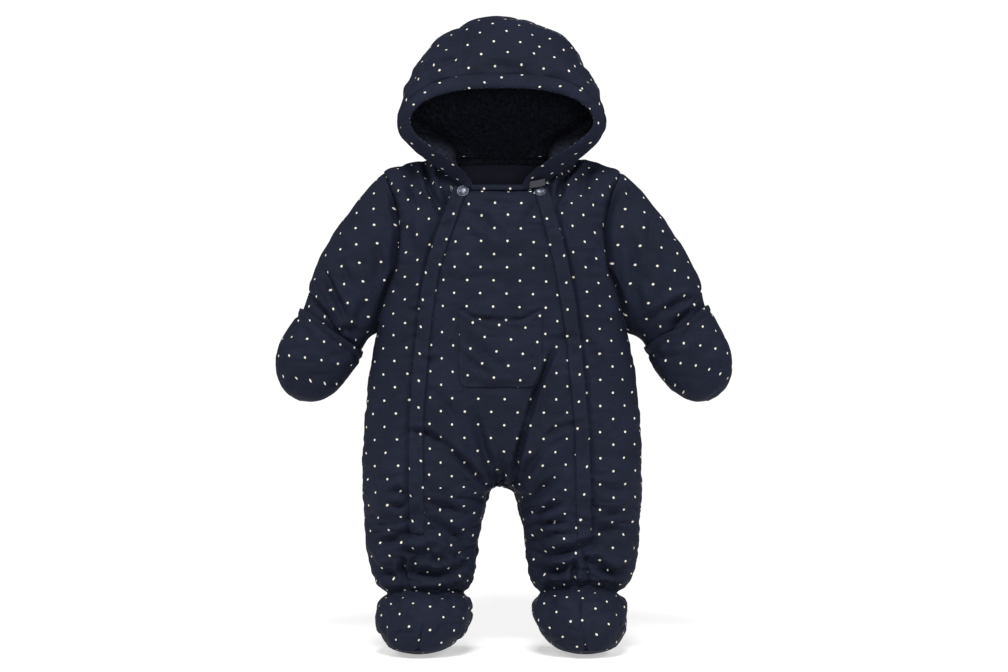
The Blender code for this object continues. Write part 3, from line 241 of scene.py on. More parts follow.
def softNoise(points, size):  # smooth bumps between -1 and 1, about size apart
    place = points / np.asarray(size, float)
    cell = np.floor(place).astype(int)
    share = place - cell
    share = share * share * (3 - 2 * share)
    total = 0
    for dx in (0, 1):
        for dy in (0, 1):
            for dz in (0, 1):
                weight = 1
                for axis, step in enumerate((dx, dy, dz)):
                    weight = weight * (share[..., axis] if step else 1 - share[..., axis])
                total = (total + weight * noiseBlocks[(cell[..., 0] + dx) % 32, (cell[..., 1] + dy) % 32,
                                                      (cell[..., 2] + dz) % 32])
    return total


def wrinkles(points, size, sharp=3.0):  # thin valleys where the noise crosses nought, -1 at the deepest
    bend = (points + 7 * points3(softNoise(points + 40, 26), softNoise(points + 80, 26),
                                 softNoise(points + 120, 26)))
    return -np.exp(-(sharp * np.abs(softNoise(bend, size))) ** 2)


# distance from a straight line seen from the front, and the share along it
def trough(points, x0, z0, x1, z1):
    run = np.array([x1 - x0, z1 - z0])
    flat = points[..., ::2] - np.array([x0, z0])
    along = np.clip(flat @ run / (run @ run), 0, 1)
    return np.linalg.norm(flat - along[..., None] * run, axis=-1), along


def creaseDepth(points, creases):  # a valley with a low ridge on each side, which fades at both ends
    total = np.zeros(points.shape[:-1])
    for x0, z0, x1, z1, x2, z2, width, depth in zip(*creases.values()):
        first, shareOne = trough(points, x0, z0, x1, z1)
        second, shareTwo = trough(points, x1, z1, x2, z2)
        nearFirst = first < second
        away = np.where(nearFirst, first, second) / width
        along = np.where(nearFirst, shareOne / 2, 0.5 + shareTwo / 2)
        fade = 0.25 + 0.75 * np.sin(np.pi * along) ** 0.7
        total += depth * fade * (0.4 * np.exp(-((away - 2.1) / 0.9) ** 2) - np.exp(-away ** 2))
    return total


def foldDepth(points, folds=bodyFolds):
    deepest = np.zeros(points.shape[:-1])
    for front, x0, z0, x1, z1, width, depth in zip(*folds.values()):
        away, _ = trough(points, x0, z0, x1, z1)
        here = (points[..., 1] < 0) == bool(front)
        deepest = np.maximum(deepest, np.where(here, depth * np.exp(-(away / width) ** 2), 0))
    return deepest


def puffAt(distance):  # how far the wadding stands out, with the cloth drawn down into the seam itself
    away = np.clip(distance, 0, 40)
    dip = cloth["seamDip"] * np.exp(-(away / cloth["seamWidth"]) ** 2)
    return cloth["puff"] * (1 - np.exp(-away / cloth["puffEdge"])) - dip


def raised(base, normal, height):
    return base + normal * height[..., None]


def wadded(base, normal, height, flat):  # the cloth's outer and inner side, which also follows its valleys
    return raised(base, normal, height), raised(base, -normal, cloth["wall"] - np.minimum(height, 0)), flat


def gridNormals(grid, ring=False):
    wide = np.concatenate([grid[:, -2:-1], grid, grid[:, 1:2]], axis=1) if ring else grid
    across = np.gradient(wide, axis=1)
    down = np.gradient(wide, axis=0)
    normals = unit(np.cross(across, down))
    return normals[:, 1:-1] if ring else normals


def spread(lengths, samples, shares):  # values at even shares of each row's length
    rows = zip(lengths, samples, shares)
    return np.stack([np.interp(share * row[-1], row, sample) for row, sample, share in rows])


def spreadPoints(lengths, points, shares):
    return np.stack([spread(lengths, points[..., axis], shares) for axis in range(3)], axis=-1)


def pointsAt(keys, points, at):
    return np.stack([np.interp(at, keys, points[:, axis]) for axis in range(3)], axis=-1)


def runLengths(grid, axis):
    steps = np.linalg.norm(np.diff(grid, axis=axis), axis=-1)
    start = np.zeros_like(np.take(steps, [0], axis=axis))
    return np.concatenate([start, np.cumsum(steps, axis=axis)], axis=axis)


# ---- surfaces of the suit; a side is -1 for left and 1 for right ----

bothSides = ((-1, "Left"), (1, "Right"))
backCreases = {name: values.copy() for name, values in frontCreases.items()}  # alike behind, but not the same
for shiftedColumn, shift in (("x0", 9), ("x1", 6), ("x2", 4), ("z0", -7), ("z1", -9), ("z2", -8)):
    backCreases[shiftedColumn] = (-1 if shiftedColumn[0] == "x" else 1) * backCreases[shiftedColumn] + shift
hemGather = {"line": 451.0, "groove": 3.6, "grooveWidth": 3.4, "roll": 2.6, "rollAt": 460.5, "ripple": 2.4,
             "rippleSize": (6.5, 6.5, 70), "fade": 13.0}


def ease(low, high, value):
    share = np.clip((value - low) / (high - low), 0, 1)
    return share * share * (3 - 2 * share)


# the seam between leg and bootie is drawn up at the front, and less so at the back
def ankleRise(side, angle):
    ahead = np.cos(np.radians(angle))
    sway = 0.9 * np.sin(np.radians(3 * angle + 40 * side)) + 0.6 * np.sin(np.radians(7 * angle + 60))
    return (np.where(ahead > 0, boot["rise"][side], boot["riseBehind"]) * np.abs(ahead) ** 1.3
            + sway * np.abs(ahead))


def ringShare(level):
    return np.clip((level - body["forkTop"]) / (body["crotch"] - body["forkTop"]), 0, 1)


def forkAngle(level):  # how far past centre front a ring runs: 0 on the torso, 90 on a leg
    square = curve(body["rings"]["level"], body["rings"]["square"], level)
    return np.degrees(np.arccos((1 - ringShare(level) ** 2) ** (square / 4)))


def bodyPoint(side, angle, level):  # 0 degrees is centre front, 90 the side seam and 180 centre back
    size = sizesAt(body["rings"], "level", level)
    power = 2 / size["square"]
    halfReach = (size["width"] - size["inner"]) / 2
    turnedIn = np.sqrt(1 - (1 - ringShare(level) ** 2) ** (size["square"] / 2))
    centre = size["inner"] + halfReach * turnedIn ** power
    turn, ahead = np.sin(np.radians(angle)), np.cos(np.radians(angle))
    reach = np.where(turn > 0, size["width"] - centre, halfReach)
    depth = np.where(ahead > 0, -size["front"], size["back"])
    zEnd = np.where(ahead > 0, size["zFront"], size["zBack"])
    x = centre + np.sign(turn) * reach * np.abs(turn) ** power
    z = size["zSide"] + (zEnd - size["zSide"]) * (1 - (1 - ahead * ahead) ** size["drop"])
    z = z + ankleRise(side, angle) * ease(boot["riseFrom"], body["ankle"], level)
    return points3(side * x, depth * np.abs(ahead) ** power, z)


def bodyNormal(side, angle, level):
    across = bodyPoint(side, angle + 0.5, level) - bodyPoint(side, angle - 0.5, level)
    down = bodyPoint(side, angle, level + 0.5) - bodyPoint(side, angle, level - 0.5)
    normal = side * unit(np.cross(down, across))
    onCentre = np.abs(bodyPoint(side, angle, level)[..., 0]) < 0.02
    share = ringShare(level) + 0 * angle
    front, back = (curve(body["rings"]["level"], body["rings"][name], level) for name in ("front", "back"))
    depth = np.where(np.cos(np.radians(angle)) > 0, -front, back)
    under = unit(points3(0, np.sqrt(1 - share ** 2) / depth, -share / (body["crotch"] - body["forkTop"])))
    normal = np.where((onCentre & (share > 0))[..., None], under, normal)
    normal[..., 0] = np.where(onCentre, 0, normal[..., 0])
    return unit(normal)


def angleWhere(side, wanted, level, high=88.0):  # the angle of a ring at a distance from the centre line
    low, high = np.full(np.shape(level), -60.0), np.full(np.shape(level), high)
    for _ in range(24):
        middle = (low + high) / 2
        point = bodyPoint(side, middle, level)
        target = wanted(point) if callable(wanted) else wanted
        nearer = point[..., 0] * side < target
        low, high = np.where(nearer, middle, low), np.where(nearer, high, middle)
    return (low + high) / 2


def zipAngle(side, level):
    line = body["zips"]["left" if side < 0 else "right"]
    return angleWhere(side, lambda point: curve(body["zips"]["z"], line, point[..., 2]), level)


def armholeAngle(level):
    inside = (level > body["shoulder"]) & (level < body["underarm"])
    return np.where(inside, curve(body["armhole"]["level"], body["armhole"]["angle"], level), 90.0)


def seamPoint(side, angle, level):
    point = bodyPoint(side, angle, level)
    return point - bodyNormal(side, angle, level) * foldDepth(point)[..., None]


def armholePoint(side, turn):  # 0 at the shoulder, 90 halfway down the front, 180 at the underarm
    turn = np.asarray(turn, float) % 360
    share = np.where(turn <= 180, turn, 360 - turn) / 180
    level = body["shoulder"] + (body["underarm"] - body["shoulder"]) * share
    angle = armholeAngle(level)
    return seamPoint(side, np.where(turn <= 180, angle, 180 - angle), level)


def sleevePoint(side, turn, station):
    size = sizesAt(sleeve["rings"], "station", np.maximum(station, 0))
    top = points3(side * size["topX"] + size["skew"], 0, size["topZ"])
    under = points3(side * size["underX"] + size["skew"], 0, size["underZ"])
    swing = np.radians(turn)
    point = (top + under) / 2 + (top - under) / 2 * np.cos(swing)[..., None]
    point = np.array(point + 0 * points3(swing, swing, swing))
    point[..., 1] = -size["depth"] / 2 * np.sign(np.sin(swing)) * np.abs(np.sin(swing)) ** 0.9
    grown = (1 - (1 - np.minimum(station / 2.6, 1)) ** 2)[..., None]
    first = {name: values[0] for name, values in sleeve["rings"].items()}
    start = points3(side * (first["topX"] + first["underX"]) / 2, 0, (first["topZ"] + first["underZ"]) / 2)
    hinge = (1 - (1 - np.cos(swing)) / 2 * 0.9)[..., None]
    fromRim = armholePoint(side, turn) + ((top + under) / 2 - start) * hinge
    return point * grown + fromRim * (1 - grown)


# station 0 is the edge, which lies over the sleeve and gapes at the front
def mittPoint(side, turn, station):
    swing = np.radians(turn)
    gape, above, below = (np.maximum(np.sin(swing), 0), np.maximum(np.cos(swing), 0),
                          np.maximum(-np.cos(swing), 0))
    level, movedAbove, movedBelow = mitt["edge"][side]
    atEdge = level + movedAbove * above ** 1.2 - movedBelow * below ** 1.2
    step = 0.05  # of a station, for the slope
    around = sleevePoint(side, turn + 2, atEdge) - sleevePoint(side, turn - 2, atEdge)
    along = sleevePoint(side, turn, atEdge + step) - sleevePoint(side, turn, atEdge - step)
    rim = sleevePoint(side, turn, atEdge)
    normal = unit(np.cross(around, along))
    middle = rim.reshape(-1, 3).mean(axis=0)
    normal = normal * np.sign(((rim - middle) * normal).sum(axis=-1, keepdims=True))
    rim = raised(rim, normal, cloth["gap"] + cloth["wall"] + mitt["gape"] * gape)
    size = sizesAt(mitt["rings"], "station", max(station, 1))
    outer = points3(side * size["outerX"] + size["skew"], 0, size["outerZ"])
    inner = points3(side * size["innerX"] + size["skew"], 0, size["innerZ"])
    point = (outer + inner) / 2 + (outer - inner) / 2 * np.cos(swing)[..., None]
    point[..., 1] = -size["depth"] / 2 * np.sign(np.sin(swing)) * np.abs(np.sin(swing)) ** 0.85
    return rim if station < 1 else point


# turn 0 is the toe and 90 the outer side; depth runs down from the ankle seam
def bootPoint(side, turn, depth):
    size = sizesAt(boot["rings"], "z", -body["ankle"] - depth)
    sine, cosine = np.sin(np.radians(turn)), np.cos(np.radians(turn))
    across = np.sign(sine) * np.abs(sine) ** 0.92 * size["halfWidth"]
    length = -np.sign(cosine) * np.abs(cosine) ** 0.9 * size["halfLength"]
    rise = ankleRise(side, turn) * (1 - ease(0, 34, depth))
    point = points3(side * (size["middleX"] + across), size["middleY"] + length,
                    -body["ankle"] - depth + rise)
    ankle = bodyPoint(side, turn + 0 * depth, body["ankle"] + 0 * (turn + depth))
    nearAnkle = np.maximum(1 - depth / 6, 0) + 0 * turn
    flat = point[..., :2] + (ankle[..., :2] - point[..., :2]) * nearAnkle[..., None]
    return np.concatenate([flat, point[..., 2:]], axis=-1)


def archPoint(side, foot, size, share):  # 0 at the foot of half an arch of the hood, 1 at its top
    low, swing = share / 0.4, np.pi / 2 * np.clip((share - 0.4) / 0.6, 0, 1)
    lower = share < 0.4
    height = np.where(lower, size["widest"] * low,
                      size["widest"] + (1 - size["widest"]) * np.sin(swing) ** size["rise"])
    footX = foot[..., 0] * side
    rising = footX + (size["width"] - footX) * np.sin(np.pi / 2 * np.clip(low, 0, 1)) ** size["low"]
    x = np.where(lower, rising, size["width"] * np.abs(np.cos(swing)) ** size["high"])
    return points3(side * x, foot[..., 1] + (size["topY"] - foot[..., 1]) * height,
                   foot[..., 2] + (size["topZ"] - foot[..., 2]) * height)


def hoodLines(side, stations):  # half arches as dense rows of points, with their lengths from the foot
    size = sizesAt(hood["rings"], "station", stations[:, None])
    foot = bodyPoint(side, size["footAngle"], 0.0 * size["footAngle"]) + np.array([0, 0, cloth["gap"]])
    lines = archPoint(side, foot, size, np.linspace(0, 1, 161)[None, :])
    return lines, runLengths(lines, 1)


def crownSeam(side, stations, lengths):  # share of the arch where the centre panel starts
    half = (hood["crownHalf"][side]
            - (hood["crownHalf"][side] - 27) * np.maximum((stations - 0.8) / 0.2, 0) ** 1.5)
    return np.maximum(1 - half / lengths, 0)


def outwardNormals(grid, centres, ring=False):
    normals = gridNormals(grid, ring)
    facing = ((grid - centres) * normals).sum(axis=-1)
    return normals * (1 if facing.sum() > 0 else -1)


hoodMiddle = np.array([0, 6.0, 72])


# normals shared by body and hood where they are sewn together, for angles round the neck
def neckMitres(side):
    stations = np.linspace(0, 1, 101)
    lines, run = hoodLines(side, stations)
    normals = outwardNormals(lines, hoodMiddle)
    nearFoot = np.full((len(stations), 1), 0.06)
    hoodNormals = spreadPoints(run, normals, nearFoot)[:, 0]
    angles = np.linspace(hood["rings"]["footAngle"][0] - 4, 180, 140)
    place = np.clip(np.interp(angles, hood["rings"]["footAngle"], hood["rings"]["station"]), 0.02, 0.9)
    fromHood = pointsAt(stations, hoodNormals, place)
    level = unit(bodyPoint(side, angles, 0 * angles) * np.array([1, 1, 0]))
    toBack = np.clip((angles - 135) / 20, 0, 1)[:, None]
    return angles, unit(bodyNormal(side, angles, 0 * angles) + fromHood * (1 - toBack) + level * toBack)


mitres = {side: neckMitres(side) for side in (-1, 1)}


def neckMitre(side, angle):
    angles, normals = mitres[side]
    return unit(pointsAt(angles, normals, angle))


valley = {"from": 64, "full": 84, "fade": 48.6, "deep": 6.5, "deepWidth": 3.2, "shallow": 2.5, "onBody": 8,
          "onSleeve": 16}


def armholeDip(distance, level, wide):  # the valley along the armhole, alike on both sides of its seam
    share = (ease(valley["from"], valley["full"], level)
             * np.clip((body["underarm"] - level) / valley["fade"], 0, 1))
    deep = valley["deep"] * np.exp(-(distance / valley["deepWidth"]) ** 2)
    return share * (deep + valley["shallow"] * np.exp(-(distance / wide) ** 2))


# the way the sleeve leaves the armhole, which is added to the body's normal there
def armholeLean(point, level):
    share = np.clip((level - body["shoulder"]) / (body["underarm"] - body["shoulder"]), 0, 1)
    return unit(points3(0 * share, point[..., 1] / 42, np.cos(np.pi * share)))


def blended(first, second, share):
    return unit(first * (1 - share)[..., None] + second * share[..., None])


# ---- finishes ----


def hexColour(code):
    parts = [int(code[i:i + 2], 16) / 255 for i in (1, 3, 5)]
    return tuple(p / 12.92 if p <= 0.04045 else ((p + 0.055) / 1.055) ** 2.4 for p in parts) + (1.0,)


def addNode(tree, kind, inputs=None, **settings):
    node = tree.nodes.new(kind)
    for name, value in settings.items():
        setattr(node, name, value)
    for socket, value in (inputs or {}).items():
        if isinstance(value, bpy.types.NodeSocket):
            tree.links.new(value, node.inputs[socket])
        else:
            node.inputs[socket].default_value = value
    return node


def newFinish(name, roughness, metallic=0.0, **sockets):
    finish = bpy.data.materials.new(name)
    finish.use_nodes = True
    shader = finish.node_tree.nodes["Principled BSDF"]
    shader.inputs["Roughness"].default_value = roughness
    shader.inputs["Metallic"].default_value = metallic
    for socket, value in sockets.items():
        shader.inputs[socket.replace("_", " ")].default_value = value
    return finish, finish.node_tree, shader


def noise(tree, spot, scale, detail, **more):
    return addNode(tree, "ShaderNodeTexNoise",
                   {"Vector": spot, "Scale": scale, "Detail": detail, **more}).outputs[0]


def tones(tree, share, places, codes):  # from a dark to a light tone of one colour
    ramp = addNode(tree, "ShaderNodeValToRGB", {0: share})
    for element, place, code in zip(ramp.color_ramp.elements, places, codes):
        element.position = place
        element.color = hexColour(code)
    return ramp.outputs[0]


def bump(tree, strength, distance, height, **more):
    return addNode(tree, "ShaderNodeBump",
                   {"Strength": strength, "Distance": distance, "Height": height, **more}).outputs[0]


def sum2(tree, first, second, operation="ADD"):
    return addNode(tree, "ShaderNodeMath", {0: first, 1: second}, operation=operation).outputs[0]


# mm; every other row is set half way along
pinDot = {"pitch": 28.4, "radius": 1.15, "soft": 0.4, "roll": 5.0}
# how the print lies on each piece: degrees turned, and mm moved across and down
printAt = {
    "frontCentre": (1, 7.4, 0.2), "frontLeft": (-2.5, -4.6, 3.7), "frontRight": (0, -1.6, -8),
    "back": (1, 4, 9), "pocket": (5.5, -0.4, 8.9), "flapLeft": (-3.5, 1.5, -2.8),
    "flapRight": (7.5, 1.2, -6.9),
    "sleeveLeft": (0, -6, -7.3), "sleeveRight": (-2.5, -6, 8), "mittLeft": (-22.5, 6.3, 0.8),
    "mittRight": (7.5, 4.3, 5.5), "hoodLeft": (-10, -11, 1.2), "hoodRight": (8, -11, -2.9),
    "hoodCentre": (2.5, 7.2, 4.1), "hoodBand": (29.5, 1.1, -9.2), "bootLeftOuter": (5, -8.9, -0.5),
    "bootLeftInner": (-4, 5, -3), "bootRightOuter": (3, 4, 3), "bootRightInner": (-5.5, -2.3, -10.4),
}


def dottedCotton():
    # cotton poplin, plain woven and piece-dyed navy with a printed white pin dot: matt, with a faint nap at
    # the edges
    finish, tree, shader = newFinish("navy pin-dot cotton poplin, printed", 0.72, Sheen_Weight=0.01,
                                     Sheen_Roughness=0.5)
    shader.inputs["Sheen Tint"].default_value = hexColour("#c3cbe6")
    shader.inputs["Specular IOR Level"].default_value = 0.08
    place = addNode(tree, "ShaderNodeUVMap", uv_map="UVMap").outputs[0]
    pitch = pinDot["pitch"] * mm
    slants = []
    for sign in (1, -1):
        turned = addNode(tree, "ShaderNodeVectorMath", {0: place, 1: (1 / pitch, sign / pitch, 0)},
                         operation="DOT_PRODUCT")
        slants.append(addNode(tree, "ShaderNodeMath", {0: turned.outputs["Value"], 1: 0.5, 2: -0.5},
                              operation="WRAP").outputs[0])
    offX = sum2(tree, sum2(tree, *slants), pitch / 2, "MULTIPLY")
    offY = sum2(tree, sum2(tree, *slants, "SUBTRACT"), pitch / 2, "MULTIPLY")
    away = addNode(tree, "ShaderNodeVectorMath",
                   {0: addNode(tree, "ShaderNodeCombineXYZ", {0: offX, 1: offY}).outputs[0]},
                   operation="LENGTH")
    spot = addNode(tree, "ShaderNodeTexCoord").outputs["Object"]
    ragged = noise(tree, spot, 1400.0, 1.0)  # ink bleeds along the threads
    edge = sum2(tree, away.outputs["Value"],
                sum2(tree, sum2(tree, ragged, 0.5, "SUBTRACT"), 0.5 * mm, "MULTIPLY"))
    radius, soft = pinDot["radius"] * mm, pinDot["soft"] * mm
    dot = addNode(tree, "ShaderNodeMapRange", {0: edge, 1: radius - soft, 2: radius + soft, 3: 1.0, 4: 0.0},
                  interpolation_type="SMOOTHSTEP").outputs[0]
    cloudy = noise(tree, spot, 22.0, 4.0, Roughness=0.6)
    fine = noise(tree, spot, 420.0, 2.0)
    shade = sum2(tree, sum2(tree, cloudy, 0.65, "MULTIPLY"), sum2(tree, fine, 0.35, "MULTIPLY"))
    dyed = tones(tree, shade, (0.3, 0.7), ("#131722", "#1a1e2e"))
    mixed = addNode(tree, "ShaderNodeMix", {0: dot, 6: dyed, 7: hexColour("#dcd7c9")}, data_type="RGBA")
    tree.links.new(mixed.outputs[2], shader.inputs["Base Color"])
    threads = []  # 0.35 mm apart in the cloth, drawn 0.9 mm apart so that they show
    sockets = {"Vector": place, "Scale": 1 / (0.9 * mm * 20) * 2 * math.pi, "Distortion": 1.2, "Detail": 1.0,
               "Detail Scale": 2.0}
    for direction in ("X", "Y"):
        wave = addNode(tree, "ShaderNodeTexWave", sockets, wave_type="BANDS", bands_direction=direction)
        threads.append(wave.outputs["Fac"])
    weave = bump(tree, 0.12, 0.0003, sum2(tree, *threads))
    crushed = bump(tree, 0.35, 0.0012, noise(tree, spot, 130.0, 3.0, Roughness=0.55), Normal=weave)
    tree.links.new(crushed, shader.inputs["Normal"])
    return finish


def teddyPile():
    # polyester teddy pile, knitted and brushed, navy: swallows light, with a bloom on the tips of the tufts
    finish, tree, shader = newFinish("navy teddy pile, brushed knit", 0.95, Sheen_Weight=0.02,
                                     Sheen_Roughness=0.6)
    shader.inputs["Sheen Tint"].default_value = hexColour("#5a6075")
    shader.inputs["Specular IOR Level"].default_value = 0.1
    spot = addNode(tree, "ShaderNodeTexCoord").outputs["Object"]
    tufts = noise(tree, spot, 260.0, 4.0, Roughness=0.65, Distortion=0.6)
    tree.links.new(tones(tree, tufts, (0.35, 0.72), ("#13141b", "#2d303d")), shader.inputs["Base Color"])
    tree.links.new(bump(tree, 0.9, 0.002, tufts), shader.inputs["Normal"])
    return finish


def plainFinish(name, dark, light, roughness, scale, bumpDepth, metallic=0.0, **sockets):
    finish, tree, shader = newFinish(name, roughness, metallic, **sockets)
    spot = addNode(tree, "ShaderNodeTexCoord").outputs["Object"]
    grain = noise(tree, spot, scale, 3.0, Roughness=0.6)
    tree.links.new(tones(tree, grain, (0.35, 0.65), (dark, light)), shader.inputs["Base Color"])
    tree.links.new(bump(tree, 0.5, bumpDepth, grain), shader.inputs["Normal"])
    return finish


cottonFinish = dottedCotton()
pileFinish = teddyPile()
facingFinish = plainFinish("navy cotton twill facing, woven", "#191b2a", "#23263c", 0.75, 900, 0.0002)
popperFinish = plainFinish("gunmetal-plated brass, pressed", "#4c505b", "#686c79", 0.4, 700, 0.00004,
                           metallic=0.8)
zipFinish = plainFinish("nickel-plated brass, stamped", "#b9bcc4", "#d4d6dc", 0.28, 600, 0.00003,
                        metallic=1.0)
tapeFinish = plainFinish("grey polyester zip tape, woven", "#1e2027", "#2e3038", 0.8, 1500, 0.0003)
threadFinish = plainFinish("navy polyester sewing thread", "#0b0d15", "#11131d", 0.8, 1500, 0.0001)
print("finishes made")

# ---- cloth pieces ----


def printed(name, flat):
    turn, across, down = printAt.get(name, (0, 0, 0))
    cosine, sine = math.cos(math.radians(turn)), math.sin(math.radians(turn))
    return np.stack([flat[:, 0] * cosine - flat[:, 1] * sine - across,
                     flat[:, 0] * sine + flat[:, 1] * cosine - down], axis=-1)


# patches of (outer, inner, uv) grids, welded where their outer points meet
def clothShell(name, patches, finish):
    outer, inner, flat = (np.concatenate([patch[i].reshape(-1, patch[i].shape[-1]) for patch in patches])
                          for i in range(3))
    flat = printed(name, flat)
    _, first, place = np.unique(np.round(outer / 0.03).astype(np.int64), axis=0, return_index=True,
                                return_inverse=True)
    place, count = place.ravel(), len(first)
    faces, corners, base = [], [], 0
    for outerGrid, _, _ in patches:
        rows, columns = outerGrid.shape[:2]
        at = base + np.arange(rows * columns).reshape(rows, columns)
        base += rows * columns
        quads = np.stack([at[:-1, :-1], at[:-1, 1:], at[1:, 1:], at[1:, :-1]], axis=-1).reshape(-1, 4)
        facing = np.cross(outer[quads[:, 2]] - outer[quads[:, 0]], outer[quads[:, 3]] - outer[quads[:, 1]])
        if (facing * (outer - inner)[quads[:, 0]]).sum() < 0:
            quads = quads[:, ::-1]
        for quad in quads.tolist():
            ring = {}
            for corner in quad:
                ring.setdefault(int(place[corner]), corner)
            if len(ring) > 2:
                faces.append(list(ring))
                corners.append(list(ring.values()))
    edges = {(a, b): (ca, cb) for ring, used in zip(faces, corners)
             for a, b, ca, cb in zip(ring, ring[1:] + ring[:1], used, used[1:] + used[:1])}
    rims = [(pair, used) for pair, used in edges.items() if pair[::-1] not in edges]
    inside = [[v + count for v in reversed(ring)] for ring in faces]
    insideCorners = [list(reversed(used)) for used in corners]
    rimFaces = [[b, a, a + count, b + count] for (a, b), _ in rims]
    rimCorners = [[cb, ca, ca, cb] for _, (ca, cb) in rims]
    points = np.concatenate([outer[first], inner[first]])
    return addMesh(name, points, faces + inside + rimFaces, corners + insideCorners + rimCorners, flat,
                   finish)


def addMesh(name, points, faces, corners, flat, finish):
    data = bpy.data.meshes.new(name)
    data.from_pydata((points * mm).tolist(), [], faces)
    data.uv_layers.new(name="UVMap").data.foreach_set("uv", (flat[np.concatenate(corners)] * mm).ravel())
    data.materials.append(finish)
    data.shade_smooth()
    data.set_sharp_from_angle(angle=math.radians(60))
    piece = bpy.data.objects.new(name, data)
    bpy.context.scene.collection.objects.link(piece)
    return piece


relief = {
    "puckerDepth": 1.9, "puckerSize": (30, 30, 5.5), "puckerReach": 11.0, "softDepth": 1.3, "softSize": 34,
    "legDepth": 3.6, "legSize": (34, 34, 10), "crumpleDepth": 2.0, "crumpleSize": (20, 26, 8),
    "trunkDepth": 1.4, "trunkSize": (18, 36, 20), "creaseGain": 1.5, "flapGroove": 1.8,
}


def bodyRelief(points, level):  # what the panels share with the flaps that lie on them
    front, back = ease(2, 16, -points[..., 1]), ease(2, 16, points[..., 1])
    total = front * creaseDepth(points, frontCreases) + back * creaseDepth(points, backCreases)
    total = total * relief["creaseGain"]
    legs = ease(300, 410, level)
    # the sides hang smoother than the front and the back
    facing = 0.25 + 0.75 * ease(6, 30, np.abs(points[..., 1]))
    total += legs * facing * relief["legDepth"] * wrinkles(points, relief["legSize"])
    total += ((0.35 + 0.65 * legs) * facing * relief["crumpleDepth"]
              * wrinkles(points + 150, relief["crumpleSize"]))
    total += (1 - legs) * relief["trunkDepth"] * wrinkles(points + 300, relief["trunkSize"])
    nearHem = np.exp(-(body["ankle"] - level) / hemGather["fade"])
    total += hemGather["ripple"] * facing * nearHem * softNoise(points, hemGather["rippleSize"])
    sway = softNoise(points + 60, (17, 17, 400))
    roll = (hemGather["roll"] * facing * (0.7 + 0.5 * sway)
            * np.exp(-((level - hemGather["rollAt"]) / 5.5) ** 2))
    away = (level - hemGather["line"] - 2.6 * sway) / hemGather["grooveWidth"]
    return (total + roll - hemGather["groove"] * facing * (0.75 + 0.5 * softNoise(points + 75, 21))
            * np.exp(-away ** 2))


def looseRelief(points, distance):  # finer life of the cloth, which dies out at the seams
    free = 1 - np.exp(-np.maximum(distance, 0) / 6)
    pucker = (softNoise(points + 20, relief["puckerSize"])
              * np.exp(-np.maximum(distance, 0) / relief["puckerReach"]))
    return (free * (relief["softDepth"] * softNoise(points, relief["softSize"])
                    + relief["puckerDepth"] * pucker * 1.6))


def centreFront(side, level):
    return -forkAngle(level)


def centreBack(side, level):
    return 180 + forkAngle(level)


def frontSide(side, level):
    return armholeAngle(level)


def backSide(side, level):
    return 180 - armholeAngle(level)


trunkRows = np.linspace(0, 300, 153)[:-1]
forkRows = (body["forkTop"] + (body["crotch"] - body["forkTop"])
            * np.sin(np.radians(np.linspace(0, 90, 41)))[:-1])
bodyRows = np.concatenate([trunkRows, forkRows, np.linspace(body["crotch"], body["ankle"], 61)])
armholeEdges = {side: armholePoint(side, np.arange(0, 360, 6.0)) for side in (-1, 1)}


# beside a flap: how far the seam's pull is hidden, the groove along the flap's outer edge, and where the
# print rolls under
besideFlap = {"fadeFrom": 395, "fadeTo": 440, "onSide": 8.5, "onCentre": 5.5, "grooveAt": 9,
              "grooveWidth": 2.4, "roll": (45, 85)}


